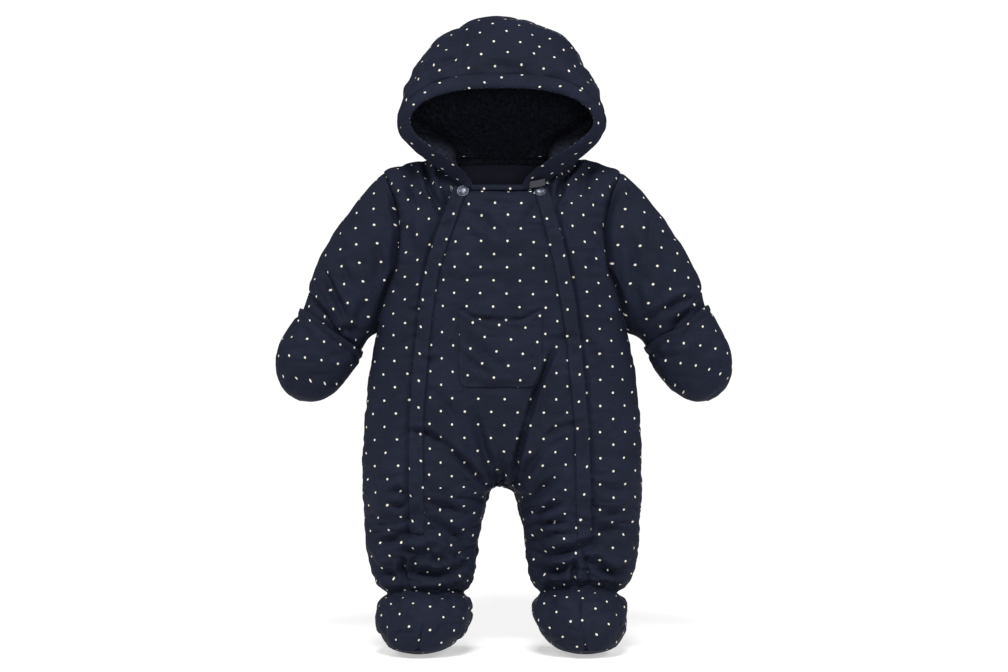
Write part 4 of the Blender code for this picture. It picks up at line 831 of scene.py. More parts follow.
def bodyPanel(side, firstLine, lastLine, columns, flapAt=None):
    first, last = firstLine(side, bodyRows), lastLine(side, bodyRows)
    level = bodyRows[:, None]
    samples = first[:, None] + (last - first)[:, None] * np.linspace(0, 1, 121)[None, :]
    run = runLengths(bodyPoint(side, samples, level), 1)
    shares = np.tile(np.linspace(0, 1, columns + 1), (len(bodyRows), 1))
    angles = spread(run, samples, shares)
    travelled, total = shares * run[:, -1:], run[:, -1:]
    base = bodyPoint(side, angles, level)
    normal = bodyNormal(side, angles, level + 0 * angles)
    base = base - normal * foldDepth(base)[..., None]
    aboveFork = np.maximum(body["crotch"] - level, 0)
    flapped = 1 - ease(besideFlap["fadeFrom"], besideFlap["fadeTo"], level)
    near = travelled + (aboveFork if firstLine is centreFront else 0)
    near = near - (besideFlap["onSide"] * flapped if flapAt == "start" else 0)
    far = total - travelled + (aboveFork if lastLine is centreBack else 0)
    far = far - (besideFlap["onCentre"] * flapped if flapAt == "end" else 0)
    edges = armholeEdges[side]
    fromArmhole = np.min([np.linalg.norm(base - edge, axis=-1) for edge in edges], axis=0)
    atNeck = ((1 - ease(0, 8, level))
              * ease(hood["rings"]["footAngle"][0] - 4, hood["rings"]["footAngle"][0], angles))
    normal = unit(normal + armholeLean(base, level + 0 * angles)
                  * np.exp(-(fromArmhole / 2.5) ** 2)[..., None])
    normal = blended(normal, neckMitre(side, angles), atNeck)
    normal = blended(normal, unit(normal * np.array([1, 1, 0])),
                     ease(body["ankle"] - 8, body["ankle"], level) + 0 * angles)
    distance = np.minimum.reduce([near, far, level * 0.6 + 0 * near, body["ankle"] - level + 0 * near,
                                  fromArmhole * 0.7])
    height = bodyRelief(base, level + 0 * near) + looseRelief(base, distance)
    height = height - armholeDip(fromArmhole, level, valley["onBody"])
    if flapAt == "start":
        away = (travelled - besideFlap["grooveAt"]) / besideFlap["grooveWidth"]
        height = height - relief["flapGroove"] * flapped * np.exp(-away ** 2)
    height = puffAt(distance) + height * (1 - np.exp(-(body["ankle"] - level) / 2))
    forkRow = int(np.searchsorted(bodyRows, body["forkTop"]))
    seamLine = zipAngle if flapAt else backSide  # the cut's own centre line is straight down to the fork
    anchor = np.abs(bodyPoint(side, seamLine(side, bodyRows), bodyRows)[:, 0])
    toZip = zipAngle(side, bodyRows)[:, None] * np.linspace(0, 1, 41)
    span = total[:, 0] if flapAt != "start" else runLengths(bodyPoint(side, toZip, level), 1)[:, -1]
    reference = np.where(np.arange(len(bodyRows)) < forkRow, span,
                         span[forkRow] + anchor - anchor[forkRow])[:, None]
    u = side * (reference + (travelled if flapAt == "start" else travelled - total if flapAt else -travelled))
    if flapAt:  # the cloth rolls under beside the flap
        u = u + np.sign(u) * pinDot["roll"] * ease(*besideFlap["roll"], np.abs(u))
    down = runLengths(base, 0)
    row = int(np.searchsorted(bodyRows, body["underarm"]))
    v = down[row:row + 1] - down - body["underarm"]
    return wadded(base, normal, height, np.stack([u, v], axis=-1))


pieces, seamRows = {}, []  # seamRows gathers the lines that are topstitched, as points with their normals
wholePanels = (("frontCentre", centreFront, zipAngle, 47, "end"), ("back", backSide, centreBack, 68, None))
for name, firstLine, lastLine, columns, flapAt in wholePanels:
    halves = [bodyPanel(side, firstLine, lastLine, columns, flapAt) for side in (-1, 1)]
    pieces[name] = clothShell(name, halves, cottonFinish)
for side, word in bothSides:
    panel = bodyPanel(side, zipAngle, frontSide, 46, "start")
    pieces["front" + word] = clothShell("front" + word, [panel], cottonFinish)
print("body panels made")


def closedRoll(name, rings, finish):  # rings of a full turn each, capped at both ends
    rows, columns = rings.shape[:2]
    at = np.arange(rows * columns).reshape(rows, columns)
    turned = np.roll(at, -1, axis=1)
    quads = np.stack([at[:-1], turned[:-1], turned[1:], at[1:]], axis=-1).reshape(-1, 4).tolist()
    caps = [at[0, ::-1].tolist(), at[-1].tolist()]
    along = runLengths(rings.mean(axis=1)[:, None], 0)
    around = runLengths(np.concatenate([rings, rings[:, :1]], axis=1), 1)[:, :-1]
    flat = np.stack([along + 0 * around, around], axis=-1).reshape(-1, 2)
    faces = quads + caps
    return addMesh(name, rings.reshape(-1, 3), faces, faces, printed(name, flat), finish)


# each flap is a strip of 2 mm rows over the zip seam, which follows the creases of the panels below it
flap = {"half": 8.0, "top": 4.5, "end": 430.0, "wall": 2.2, "lift": 0.35, "crown": 0.9, "across": 19,
        "fade": {-1: (345, 410), 1: (390, 428)}}
for side, word in bothSides:
    levels = np.linspace(flap["top"], flap["end"], 215)
    middle = zipAngle(side, levels)
    speed = (np.linalg.norm(bodyPoint(side, middle + 1, levels) - bodyPoint(side, middle - 1, levels),
                            axis=-1) / 2)
    across = np.linspace(-1, 1, flap["across"])
    angles = middle[:, None] + (across * flap["half"])[None, :] / speed[:, None]
    level = levels[:, None] + 0 * angles
    base = bodyPoint(side, angles, level)
    normal = bodyNormal(side, angles, level)
    low = -foldDepth(base) + bodyRelief(base, level) + flap["lift"]
    flat = 1 - 0.85 * ease(*flap["fade"][side], level)  # the lower end sinks into the leg
    edge = np.minimum(1 - np.abs(across), 0.24) / 0.24
    rounded = 0.62 + 0.38 * np.sqrt(1 - (1 - edge) ** 2)
    ripple = 0.35 * softNoise(base + 500, (9, 9, 9)) * (1 - edge) + 1.1 * softNoise(base + 520, (30, 30, 11))
    high = low + (flap["wall"] * rounded + flap["crown"] * (1 - across ** 2) ** 0.5 + ripple) * flat
    uv = np.stack([side * (across * flap["half"])[None, :] + 0 * level, -runLengths(base, 0)], axis=-1)
    top = raised(base, normal, high)
    seamRows += [(top[:-12, k], normal[:-12, k]) for k in (3, -4)]
    pieces["flap" + word] = clothShell("flap" + word, [(top, raised(base, normal, low), uv)], cottonFinish)
print("flaps made")

# the pocket lies on the centre panel as the panel is here, with its own creases
pocket = {"left": -46.0, "right": 43.0, "topLeft": -159.0, "topRight": -158.0, "dip": 14.5, "bottom": -243.0,
          "corner": 9.0,
          "wall": 1.7, "lift": 0.6, "crown": 0.9, "columns": 70, "rows": 70}


# the height of a piece's front at places seen from the front, with its normals
def surfaceUnder(piece, flat, missing=None):
    bpy.context.view_layer.update()
    tree = BVHTree.FromObject(piece, bpy.context.evaluated_depsgraph_get())
    spots, normals = np.zeros(flat.shape[:-1] + (3,)), np.zeros(flat.shape[:-1] + (3,))
    for place in np.ndindex(flat.shape[:-1]):
        spot, normal, _, _ = tree.ray_cast(Vector((flat[place][0] * mm, -1, flat[place][1] * mm)),
                                           Vector((0, 1, 0)))
        spots[place], normals[place] = (missing, 0) if spot is None else (np.array(spot) / mm, normal)
    return spots, normals


across, down = (np.linspace(0, 1, pocket["columns"] + 1)[None, :],
                np.linspace(0, 1, pocket["rows"] + 1)[:, None])
fromEnd = (1 - down) * (pocket["topRight"] - pocket["bottom"])
inCorner = 1 - np.clip(fromEnd / pocket["corner"], 0, 1)
tuck = pocket["corner"] * (1 - np.sqrt(np.clip(1 - inCorner ** 2, 0, 1)))
x = pocket["left"] + tuck + (pocket["right"] - pocket["left"] - 2 * tuck) * across
top = pocket["topLeft"] + (pocket["topRight"] - pocket["topLeft"]) * across
top = top - pocket["dip"] * (1 - np.abs(2 * across - 1) ** 2.6)
z = top + (pocket["bottom"] - top) * down
spots, normals = surfaceUnder(pieces["frontCentre"], np.stack(np.broadcast_arrays(x, z), axis=-1))
rim = np.minimum(np.minimum(x - x[:, :1], x[:, -1:] - x), np.minimum(z - z[-1:, :], top - z + 2))
normal = unit(np.array([0, -1.0, 0]) + 0.3 * normals)
high = (pocket["lift"] + pocket["wall"] * (0.62 + 0.38 * np.clip(rim / 1.2, 0, 1) ** 0.5)
        + pocket["crown"] * (1 - np.exp(-rim / 10)))
high = high + 0.5 * softNoise(spots + 700, (22, 22, 22))
uv = np.stack([x + 0 * z, z + 0 * x], axis=-1)
top = raised(spots, normal, high)
for k in (2, 5):
    seamRows += [(top[:-k, column], normal[:-k, column]) for column in (k, -1 - k)]
    seamRows.append((top[-1 - k, k:-k], normal[-1 - k, k:-k]))
seamRows.append((top[9, 2:-2], normal[9, 2:-2]))
pieces["pocket"] = clothShell("pocket", [(top, spots + normal * pocket["lift"], uv)], cottonFinish)
print("pocket made")


# flat places on a sleeve or mitt: round the arm, and down along it from the shoulder
def armFlat(side, base, closed=False):
    along = unit(np.array([side * 75.0, 0, -107.0]))
    down = base[:1] @ along + runLengths(base, 0) if closed else base @ along
    steps = np.linalg.norm(np.diff(base, axis=1), axis=-1) ** 2 - np.diff(down, axis=1) ** 2
    around = np.cumsum(np.sqrt(np.maximum(steps, 0)), axis=1)
    around = np.concatenate([0 * around[:, :1], around], axis=1)
    shoulder = around[:, around.shape[1] // 2][:, None]
    return np.stack([side * (around - shoulder), -down], axis=-1)


armRelief = {
    "creaseGain": 1.4, "wideDepth": 1.6, "wideSize": (22, 34, 16), "fineDepth": 0.8, "fineSize": (15, 20, 9),
    "softDepth": 1.8, "softSize": 26,
}


def armCloth(points, creases):
    towards, away = ease(2, 14, -points[..., 1]), ease(2, 14, points[..., 1])
    moved = {"x": 4, "z": -5}  # where the creases behind lie, against those in front
    behind = {name: values + moved.get(name[0], 0) for name, values in creases.items()}
    total = (armRelief["creaseGain"]
             * (towards * creaseDepth(points, creases) + away * creaseDepth(points, behind)))
    facing = 0.3 + 0.7 * ease(5, 22, np.abs(points[..., 1]))
    wide = armRelief["wideDepth"] * wrinkles(points + 900, armRelief["wideSize"])
    total = total + facing * (wide + armRelief["fineDepth"] * wrinkles(points + 960, armRelief["fineSize"]))
    return total + armRelief["softDepth"] * softNoise(points + 930, armRelief["softSize"])


for side, word in bothSides:
    stations = np.linspace(0, 8, 96)[:, None]
    turns = np.linspace(180, 540, 161)[None, :]
    base = sleevePoint(side, turns, stations)
    normal = outwardNormals(base, base.mean(axis=1, keepdims=True), ring=True)
    fromSeam = np.linalg.norm(base - base[:1], axis=-1)
    level = body["shoulder"] + (body["underarm"] - body["shoulder"]) * np.abs((turns - 360) / 180)
    angle = np.where(turns > 360, armholeAngle(level), 180 - armholeAngle(level))
    mitre = unit(bodyNormal(side, angle, level) + armholeLean(base[:1], level))
    normal = blended(normal, mitre + 0 * base, np.exp(-(fromSeam / 2.5) ** 2))
    underArm = np.minimum(np.abs(180 - turns % 360) / 70, 1)
    run = runLengths(base, 1)
    fromJoin = np.minimum(run, run[:, -1:] - run)
    pressed = np.clip((6.6 - stations) / 1.2, 0, 1)
    height = (puffAt(np.minimum(np.minimum(fromSeam, (5.4 - stations) * 20), fromJoin)) * underArm
              * (stations < 5.4))
    pucker = softNoise(base + 200, (34, 34, 6.5)) * np.exp(-fromSeam / 9) * (1 - np.exp(-fromSeam / 1.5))
    life = armCloth(base, sleeve["creases"][side]) + 1.8 * pucker
    height = height + life * underArm * pressed * (1 - np.exp(-fromSeam / 6))
    height = height - armholeDip(fromSeam, level, valley["onSleeve"])
    shell = wadded(base, normal, height, armFlat(side, base))
    pieces["sleeve" + word] = clothShell("sleeve" + word, [shell], cottonFinish)


# a smooth surface through a few key rows, closer together towards the end
def throughRows(keys, count, power=1.0):
    place = (1 - (1 - np.linspace(0, 1, count)) ** power) * (len(keys) - 1)
    i = np.minimum(place.astype(int), len(keys) - 2)
    u = (place - i)[:, None, None]
    wide = np.concatenate([2 * keys[:1] - keys[1:2], keys, 2 * keys[-1:] - keys[-2:-1]])
    a, b, c, d = (wide[i + step] for step in range(4))
    return b + 0.5 * u * (c - a + u * (2 * a - 5 * b + 4 * c - d + u * (3 * (b - c) + d - a)))


for side, word in bothSides:
    turns = np.linspace(180, 540, 145)
    keyRows = np.stack([mittPoint(side, turns, station) for station in range(9)])
    base = throughRows(keyRows, 70, 1.15)
    normal = outwardNormals(base, base.mean(axis=1, keepdims=True), ring=True)
    normal[-1] = unit(np.array([side * 0.05, 0, -1.0]))
    fromRim = runLengths(base, 0)
    hem = np.exp(-((fromRim - 9) / 2.2) ** 2)
    circle = points3(np.cos(np.radians(turns)) * 24, np.sin(np.radians(turns)) * 24, 0)
    gathers = softNoise(circle + side * 70, (5.5, 5.5, 30))
    height = -1.8 * hem + 1.8 * gathers * np.exp(-((fromRim - 11) / 9) ** 2)
    height = height + armCloth(base, mitt["creases"][side]) * (1 - np.exp(-fromRim / 8))
    height = np.where(fromRim < 1, 0, height) * np.clip((fromRim[-1:] - fromRim) / 12, 0, 1)
    shell = wadded(base, normal, height, armFlat(side, base, closed=True))
    hemRow = int(np.argmax(fromRim.mean(axis=1) > 8.5))
    seamRows.append((shell[0][hemRow], normal[hemRow]))
    pieces["mitt" + word] = clothShell("mitt" + word, [shell], cottonFinish)
print("sleeves and mitts made")

for side, word in bothSides:
    depths = (boot["drop"] * (np.linspace(0, 1, 44)) ** 1.1)[:, None]
    for part, start in (("Outer", 0), ("Inner", 180)):
        turns = np.linspace(start, start + 180, 91)[None, :]
        base = bootPoint(side, turns, depths)
        normal = outwardNormals(base, np.array([side * 84.5, -8, -500.0]))
        run = runLengths(base, 1)
        seam = np.minimum(run, run[:, -1:] - run)
        puff = puffAt(np.minimum(np.minimum(seam, depths), 60 - depths)) * 0.6
        puff = puff - 1.3 * np.exp(-(seam / 2.2) ** 2) * ease(4, 14, depths)
        gathers = softNoise(base + 400, (5.5, 9, 60)) * np.exp(-depths / 20) * (1 - np.exp(-depths / 2))
        life = 3.2 * gathers + 1.3 * softNoise(base + 430, 20) + 2.8 * wrinkles(base + 460, (18, 24, 13))
        height = (puff + life * (1 - np.exp(-seam / 4)) * (1 - np.exp(-depths / 2))
                  * (1 - 0.7 * ease(40, boot["drop"], depths)))
        normal = blended(normal, unit(normal * np.array([1, 1, 0])), 1 - ease(0, 8, depths) + 0 * turns)
        fromToe = run if part == "Outer" else run - run[:, -1:]
        uv = np.stack([side * fromToe, -runLengths(base, 0)], axis=-1)
        name = "boot" + word + part
        pieces[name] = clothShell(name, [wadded(base, normal, height, uv)], cottonFinish)
    turns = np.linspace(0, 360, 97)
    rim = bootPoint(side, turns[None, :], np.array([[boot["drop"]]]))[0]
    centre = np.array([side * boot["rings"]["middleX"][-1], boot["rings"]["middleY"][-1], 0])
    shares = np.concatenate([[1.0], np.linspace(0.995, 0.0, 12)])[:, None]
    z = curve(boot["sole"]["share"], boot["sole"]["z"], shares)
    flat = centre[:2] + (rim[None, :, :2] - centre[:2]) * shares[..., None]
    outer = np.concatenate([flat, (z + 0 * turns)[..., None]], axis=-1)
    pull = 1 - np.where(shares > 0.8, boot["wall"] / 40, 0)
    lift = boot["wall"] * np.minimum((1 - shares) / 0.14, 1)
    pulled = centre[:2] + (flat - centre[:2]) * pull[..., None]
    inner = np.concatenate([pulled, (z + lift + 0 * turns)[..., None]], axis=-1)
    name = "boot" + word + "Sole"
    pieces[name] = clothShell(name, [(outer, inner, outer[..., :2])], cottonFinish)
print("booties made")


# points, normals, shares of the arch and lengths of the arches
def hoodHalf(side, stations, low, high, columns):
    lines, run = hoodLines(side, stations)
    normals = outwardNormals(lines, hoodMiddle)
    normals[:, -1, 0] = 0
    shares = low[:, None] + (high - low)[:, None] * np.linspace(0, 1, columns + 1)
    base, normal = spreadPoints(run, lines, shares), spreadPoints(run, normals, shares)
    foot = curve(hood["rings"]["station"], hood["rings"]["footAngle"], stations)[:, None]
    atFoot = 1 - ease(0, 9, shares * run[:, -1:])
    normal = blended(unit(normal), neckMitre(side, foot + 0 * shares), atFoot)
    atBack = ease(0.93, 1.0, stations)[:, None] + 0 * shares
    return base, blended(normal, neckMitre(side, foot + (180 - foot) * shares), atBack), shares, run[:, -1]


# moves flat places until they lie as far apart as the cloth's own, so that dots stay round
def relaxed(flat, points, held):
    picks = [np.unique(np.linspace(0, count - 1, count // 5).astype(int)) for count in flat.shape[:2]]
    spots, start, free = points[np.ix_(*picks)], flat[np.ix_(*picks)], 1 - held[np.ix_(*picks)][..., None]
    place = start.copy()
    pairs = ((np.s_[:-1], np.s_[1:]), (np.s_[:, :-1], np.s_[:, 1:]), (np.s_[:-1, :-1], np.s_[1:, 1:]),
             (np.s_[1:, :-1], np.s_[:-1, 1:]))
    for _ in range(400):
        push, links = np.zeros_like(place), np.zeros(place.shape[:2] + (1,))
        for near, far in pairs:
            run = place[far] - place[near]
            length = np.maximum(np.linalg.norm(run, axis=-1, keepdims=True), 1e-6)
            move = run * (1 - np.linalg.norm(spots[far] - spots[near], axis=-1, keepdims=True) / length) / 2
            push[near] += move
            push[far] -= move
            links[near] += 1
            links[far] += 1
        place = place + push / links * free
    moved = place - start
    rows, columns = (np.arange(count) for count in flat.shape[:2])
    wide = np.stack([[np.interp(columns, picks[1], row) for row in moved[..., axis]] for axis in (0, 1)],
                    axis=-1)
    moved = np.stack([[np.interp(rows, picks[0], column) for column in wide[..., axis].T] for axis in (0, 1)],
                     axis=-1)
    return flat + moved.transpose(1, 0, 2)


hoodRelief = {"creaseGain": 1.8, "softDepth": 2.6, "softSize": 24, "wideDepth": 1.1, "wideSize": (32, 28, 20),
              "fineDepth": 0.7, "fineSize": (16, 16, 11)}


def hoodCloth(base):
    creases = hoodRelief["creaseGain"] * creaseDepth(base, hood["creases"]) * ease(30, 10, base[..., 1] + 0)
    life = creases + hoodRelief["softDepth"] * softNoise(base + 610, hoodRelief["softSize"])
    life = life + hoodRelief["wideDepth"] * wrinkles(base + 640, hoodRelief["wideSize"])
    return life + hoodRelief["fineDepth"] * wrinkles(base + 690, hoodRelief["fineSize"])


def hoodShell(name, finish, sides, stations, columns, centre, lift, wall, pile=0.0):
    patches = []
    for side in sides:
        _, _, _, lengths = hoodHalf(side, stations, 0 * stations, 1 + 0 * stations, 4)
        seam = crownSeam(side, stations, lengths)
        low, high = (seam, 1 + 0 * seam) if centre else (0 * seam, seam)
        base, normal, shares, lengths = hoodHalf(side, stations, low, high, columns)
        fromLow = (shares - low[:, None]) * lengths[:, None]
        toHigh = (high[:, None] - shares) * lengths[:, None]
        toSeam = fromLow if centre else np.minimum(fromLow, toHigh)
        fromFront = runLengths(base, 0)
        height = np.full(shares.shape, float(lift))
        depth = np.where(stations[:, None] > hood["liningStart"], wall, hood["wall"]) + 0 * shares
        if pile:
            tufts = softNoise(base + 50, 5.4) + 0.5 * softNoise(base + 90, 2.8)
            depth = depth + pile * tufts * (1 - np.exp(-toSeam / 2.5)) - 1.2 * np.exp(-(toSeam / 3.0) ** 2)
        else:
            reach = np.minimum(np.minimum(toSeam, stations[:, None] * 300), (1 - stations[:, None]) * 120)
            free = 1 - np.exp(-toSeam / 6)
            pucker = 1.3 * softNoise(base + 650, (40, 7, 12)) * np.exp(-toSeam / 9)
            front = softNoise(base + 670, (9, 40, 40)) * np.exp(-fromFront / 12)
            flatSeam = 1 - 0.6 * np.exp(-(toSeam / 9) ** 2)  # the seams of the crown are pressed flat
            height = (height + puffAt(reach) * flatSeam + free * (hoodCloth(base) + 1.2 * pucker)
                      + front * (1 - np.exp(-fromFront / 2)))
        signed = (shares - 1) * lengths[:, None] * (1 if side < 0 else -1)
        uv = np.stack([signed, -fromFront], axis=-1)
        if not centre:
            uv = relaxed(uv, base, 1 - ease(0.4, 0.6, stations)[:, None] + 0 * shares)
        patches.append((raised(base, normal, height), raised(base, normal, lift - depth), uv))
        if not pile:
            top = patches[-1][0]
            seamRows.append((top[5], normal[5]))
            seamRows.extend((top[3:-4, k], normal[3:-4, k]) for k in ([2] if centre else [-3]))
    if pile and not centre:  # the pile reaches a little way down inside the neck, over the top of the facing
        for side in sides:
            levels, angles = np.linspace(0.3, 9, 7)[:, None], np.linspace(112, 180, 81)[None, :]
            base, normal = bodyPoint(side, angles, levels), bodyNormal(side, angles, levels + 0 * angles)
            thick = 4.2 + pile * softNoise(base + 50, 5.4)
            uv = np.stack([angles + 0 * levels, -levels + 0 * angles], axis=-1)
            patches.append((base + normal * lift, raised(base, normal, lift - thick), uv))
    return clothShell(name, patches, finish)


hoodRows = np.concatenate([np.linspace(0.002, 0.9, 110), np.linspace(0.905, 1.0, 20)])
liningRows = np.concatenate([np.linspace(hood["liningStart"], 0.9, 130), np.linspace(0.905, 1.0, 16)])
under = -(hood["wall"] + hood["liningGap"])
hoodLayers = (
    ("hood", cottonFinish, hoodRows, 0.0, hood["wall"], 0.0, 100, 22),
    ("lining", pileFinish, liningRows, under, hood["pile"], 1.7, 88, 26),
)
for name, finish, rows, lift, wall, pile, sideColumns, crownColumns in hoodLayers:
    for side, word in bothSides:
        pieces[name + word] = hoodShell(name + word, finish, [side], rows, sideColumns, False, lift, wall,
                                        pile)
    pieces[name + "Centre"] = hoodShell(name + "Centre", finish, [-1, 1], rows, crownColumns, True, lift,
                                        wall, pile)
print("hood and lining made")

# the rolled hem round the face, gathered a little along both its edges
band = {"places": 150, "around": 24, "half": 1.04, "ahead": 4.2,
        "foot": {-1: (33, -48, -27), 1: (22, -49.5, -28)}}
halves = []
for side in (-1, 1):
    shares = np.linspace(0, 1, band["places"])
    station = np.array([0.002, 0.012])
    lines, run = hoodLines(side, station)
    along = np.tile(shares, (2, 1))
    seam = spreadPoints(run, lines, along)
    dense = outwardNormals(lines, hoodMiddle)
    ahead = unit(spreadPoints(run, dense, along))[0]
    ahead[-1, 0] = 0
    where = np.interp(shares * run[0, -1], run[0], np.linspace(0, 1, run.shape[1]))
    foot = np.array(band["foot"][side], float) * np.array([side, 1, 1])
    mouth = archPoint(side, foot, hood["opening"], where)
    halves.append((seam[0], mouth, ahead))
seam, mouth, ahead = (np.concatenate([halves[0][i], halves[1][i][::-1][1:]]) for i in range(3))
across = unit(mouth - seam)
ahead = unit(ahead - across * (ahead * across).sum(axis=-1, keepdims=True))
swing = (np.pi * 2 * (np.arange(band["around"]) + 0.5) / band["around"])[None, :]
half = np.linalg.norm(mouth - seam, axis=-1)[:, None]  # of the roll's width, below
middle = (seam + mouth) / 2
gather = (softNoise(middle + 800, 7.5)[:, None] * (0.8 - 0.2 * np.cos(swing))
          + 1.3 * softNoise(middle + 830, 13)[:, None])
# towards both its ends
thinned = 0.35 + 0.65 * np.minimum(np.sin(np.pi * np.linspace(0, 1, len(middle))) * 7, 1)
thick = (band["ahead"] + 1.1 * gather) * thinned[:, None]
rings = middle[:, None] + across[:, None] * (half / 2 * band["half"] * np.cos(swing))[..., None]
rings = rings + ahead[:, None] * (thick * np.sin(swing))[..., None]
pieces["hoodBand"] = closedRoll("hoodBand", rings, cottonFinish)

# the binding folded over the front edge of the neck
binding = {
    "half": 33.5,
    "section": table(
        "out up",
        (-3.6, -1.2), (-3.75, 1.2), (-3.6, 2.8), (-2.7, 3.8), (-1.5, 4.2), (0.0, 4.15), (1.2, 3.8),
        (2.2, 3.0), (2.7, 1.6), (2.8, -0.2), (2.4, -1.6), (0.0, -1.9),
    ),
}
rings = []
for place in np.linspace(-1, 1, 61):
    side = -1 if place < 0 else 1
    angle = float(angleWhere(side, abs(place) * binding["half"], np.array(0.0))) if place else 0.0
    point = bodyPoint(side, np.array(angle), np.array(0.0))
    rings.append([point + np.array([0, -out, up]) for out, up in zip(*binding["section"].values())])
pieces["neckBinding"] = closedRoll("neckBinding", np.array(rings), cottonFinish)

# the smooth strip inside the back of the neck
patches = []
for side in (-1, 1):
    levels = np.linspace(6, 60, 28)[:, None]
    first, last = backSide(side, levels[:, 0]), 180.0 + 0 * levels[:, 0]
    samples = first[:, None] + (last - first)[:, None] * np.linspace(0, 1, 121)
    run = runLengths(bodyPoint(side, samples, levels), 1)
    angles = spread(run, samples, np.tile(np.linspace(0.5, 1, 41), (len(levels), 1)))
    base, normal = seamPoint(side, angles, levels + 0 * angles), bodyNormal(side, angles, levels + 0 * angles)
    lift = -(cloth["wall"] + cloth["gap"])
    uv = np.stack([runLengths(base, 1), -levels + 0 * angles], axis=-1)
    patches.append((base + normal * lift, base + normal * (lift - 1.6), uv))
pieces["neckFacing"] = clothShell("neckFacing", patches, facingFinish)
print("band, binding and facing made")

# ---- poppers, zip ends, tape and thread ----


def grown(thickness, lift=0.0):  # an inset of the selected face, which is then raised or sunk
    bpy.ops.mesh.inset(thickness=thickness * mm, depth=0)
    bpy.ops.transform.translate(value=(0, 0, lift * mm))


def topFace(obj):
    bpy.ops.object.mode_set(mode="EDIT")
    bpy.ops.mesh.select_mode(type="FACE")
    bpy.ops.mesh.select_all(action="DESELECT")
    bpy.ops.object.mode_set(mode="OBJECT")
    highest = max(obj.data.polygons, key=lambda face: face.center.z)
    highest.select = True
    bpy.ops.object.mode_set(mode="EDIT")


def finished(obj, name, finish, bevel, segments, matrix):
    bpy.ops.object.mode_set(mode="OBJECT")
    rounding = obj.modifiers.new("rounding", "BEVEL")
    rounding.width, rounding.segments, rounding.limit_method = bevel * mm, segments, "ANGLE"
    rounding.angle_limit = math.radians(35)
    bpy.ops.object.modifier_apply(modifier="rounding")
    bpy.ops.object.shade_smooth_by_angle(angle=math.radians(50))
    obj.data.transform(matrix)
    obj.name = obj.data.name = name
    obj.data.materials.append(finish)
    obj.select_set(False)
    return obj


# a frame with Z along the normal and Y as near as can be to a direction
def standingOn(spot, normal, along=(0, 0, 1)):
    up = Vector(normal).normalized()
    across = Vector(along).cross(up).normalized()
    turned = Matrix((across, up.cross(across), up)).transposed().to_4x4()
    return Matrix.Translation(Vector(spot) * mm) @ turned


popper = {"radius": 6.4, "foot": 1.5, "rim": 0.85, "groove": 0.45, "dome": 1.5, "x": {-1: -42.4, 1: 41.0},
          "z": -31.4}
zipEnd = {-1: {"x": -55.4, "z": -28.0, "size": (2.8, 6.6, 1.6)},
          1: {"x": 30.8, "z": -31.4, "size": (3.4, 4.2, 1.5)}}
for side, word in bothSides:
    spots, normals = surfaceUnder(pieces["flap" + word], np.array([[popper["x"][side], popper["z"]]]))
    bpy.ops.mesh.primitive_cylinder_add(vertices=40, radius=popper["radius"] * mm, depth=popper["foot"] * mm,
                                        location=(0, 0, popper["foot"] / 2 * mm))
    cap = bpy.context.object
    topFace(cap)
    grown(popper["rim"])
    grown(0.25, -popper["groove"])
    grown(0.3, popper["groove"] + popper["dome"] * 0.5)
    for inward, up in ((1.0, 0.42), (1.2, 0.26), (1.2, 0.1)):
        grown(inward, up * popper["dome"])
    place = standingOn(spots[0] - normals[0] * 0.3, normals[0])
    pieces["popper" + word] = finished(cap, "popper" + word, popperFinish, 0.22, 2, place)

    width, height, thick = zipEnd[side]["size"]
    panel = pieces["frontLeft" if side < 0 else "frontCentre"]
    spots, normals = surfaceUnder(panel, np.array([[zipEnd[side]["x"], zipEnd[side]["z"]]]))
    bpy.ops.mesh.primitive_cube_add(size=1, location=(0, 0, thick / 2 * mm))
    stop = bpy.context.object
    stop.scale = (width * mm, height * mm, thick * mm)
    bpy.ops.object.transform_apply(location=True, rotation=False, scale=True)
    topFace(stop)
    grown(0.55)
    grown(0.2, -0.35)
    place = standingOn(spots[0], normals[0], (0.2 * side, 0, 1))
    pieces["zipEnd" + word] = finished(stop, "zipEnd" + word, zipFinish, 0.3, 2, place)

# the end of the right zip's tape, turned out above the popper
tape = {"x": (30.0, 46.5), "z": (-26.5, -19.5), "slope": 0.2, "lift": 0.5, "wall": 0.8}
x, z = np.meshgrid(np.linspace(*tape["x"], 17), np.linspace(*tape["z"][::-1], 10))
z = z + tape["slope"] * (x - x.mean())
spots = [surfaceUnder(pieces[name], np.stack([x, z], axis=-1), 1)[0]
         for name in ("hoodBand", "frontRight", "flapRight")]
ahead = np.min(spots, axis=0)[..., 1]
y = ahead.min() + 0.14 * (x - x.mean()) + 0 * z
under = points3(x, np.minimum(y, ahead.min() + 3.0), z) - np.array([0, tape["lift"], 0])
uv = np.stack([x, z], axis=-1)
pieces["zipTape"] = clothShell("zipTape", [(under - np.array([0, tape["wall"], 0]), under, uv)], tapeFinish)

stitch = {"length": 2.3, "width": 0.42, "height": 0.2, "pitch": 3.4}
bpy.ops.mesh.primitive_uv_sphere_add(segments=4, ring_count=3, radius=0.5)
model = bpy.context.object
shape = np.array([vertex.co[:] for vertex in model.data.vertices])
shape = shape * np.array([stitch["length"], stitch["width"], stitch["height"]])
shapeFaces = [list(face.vertices) for face in model.data.polygons]
bpy.data.objects.remove(model)
points, faces = [], []
for line, normals in seamRows:
    run = runLengths(line[:, None], 0)[:, 0]
    for start in np.arange(stitch["pitch"] / 2, run[-1], stitch["pitch"]):
        spot, ahead = pointsAt(run, line, start), pointsAt(run, line, start + 0.5)
        up = unit(pointsAt(run, normals, start))
        along = unit(ahead - spot - up * ((ahead - spot) @ up))
        faces += [[corner + len(points) * len(shape) for corner in face] for face in shapeFaces]
        points.append(spot + shape @ np.stack([along, np.cross(up, along), up]))
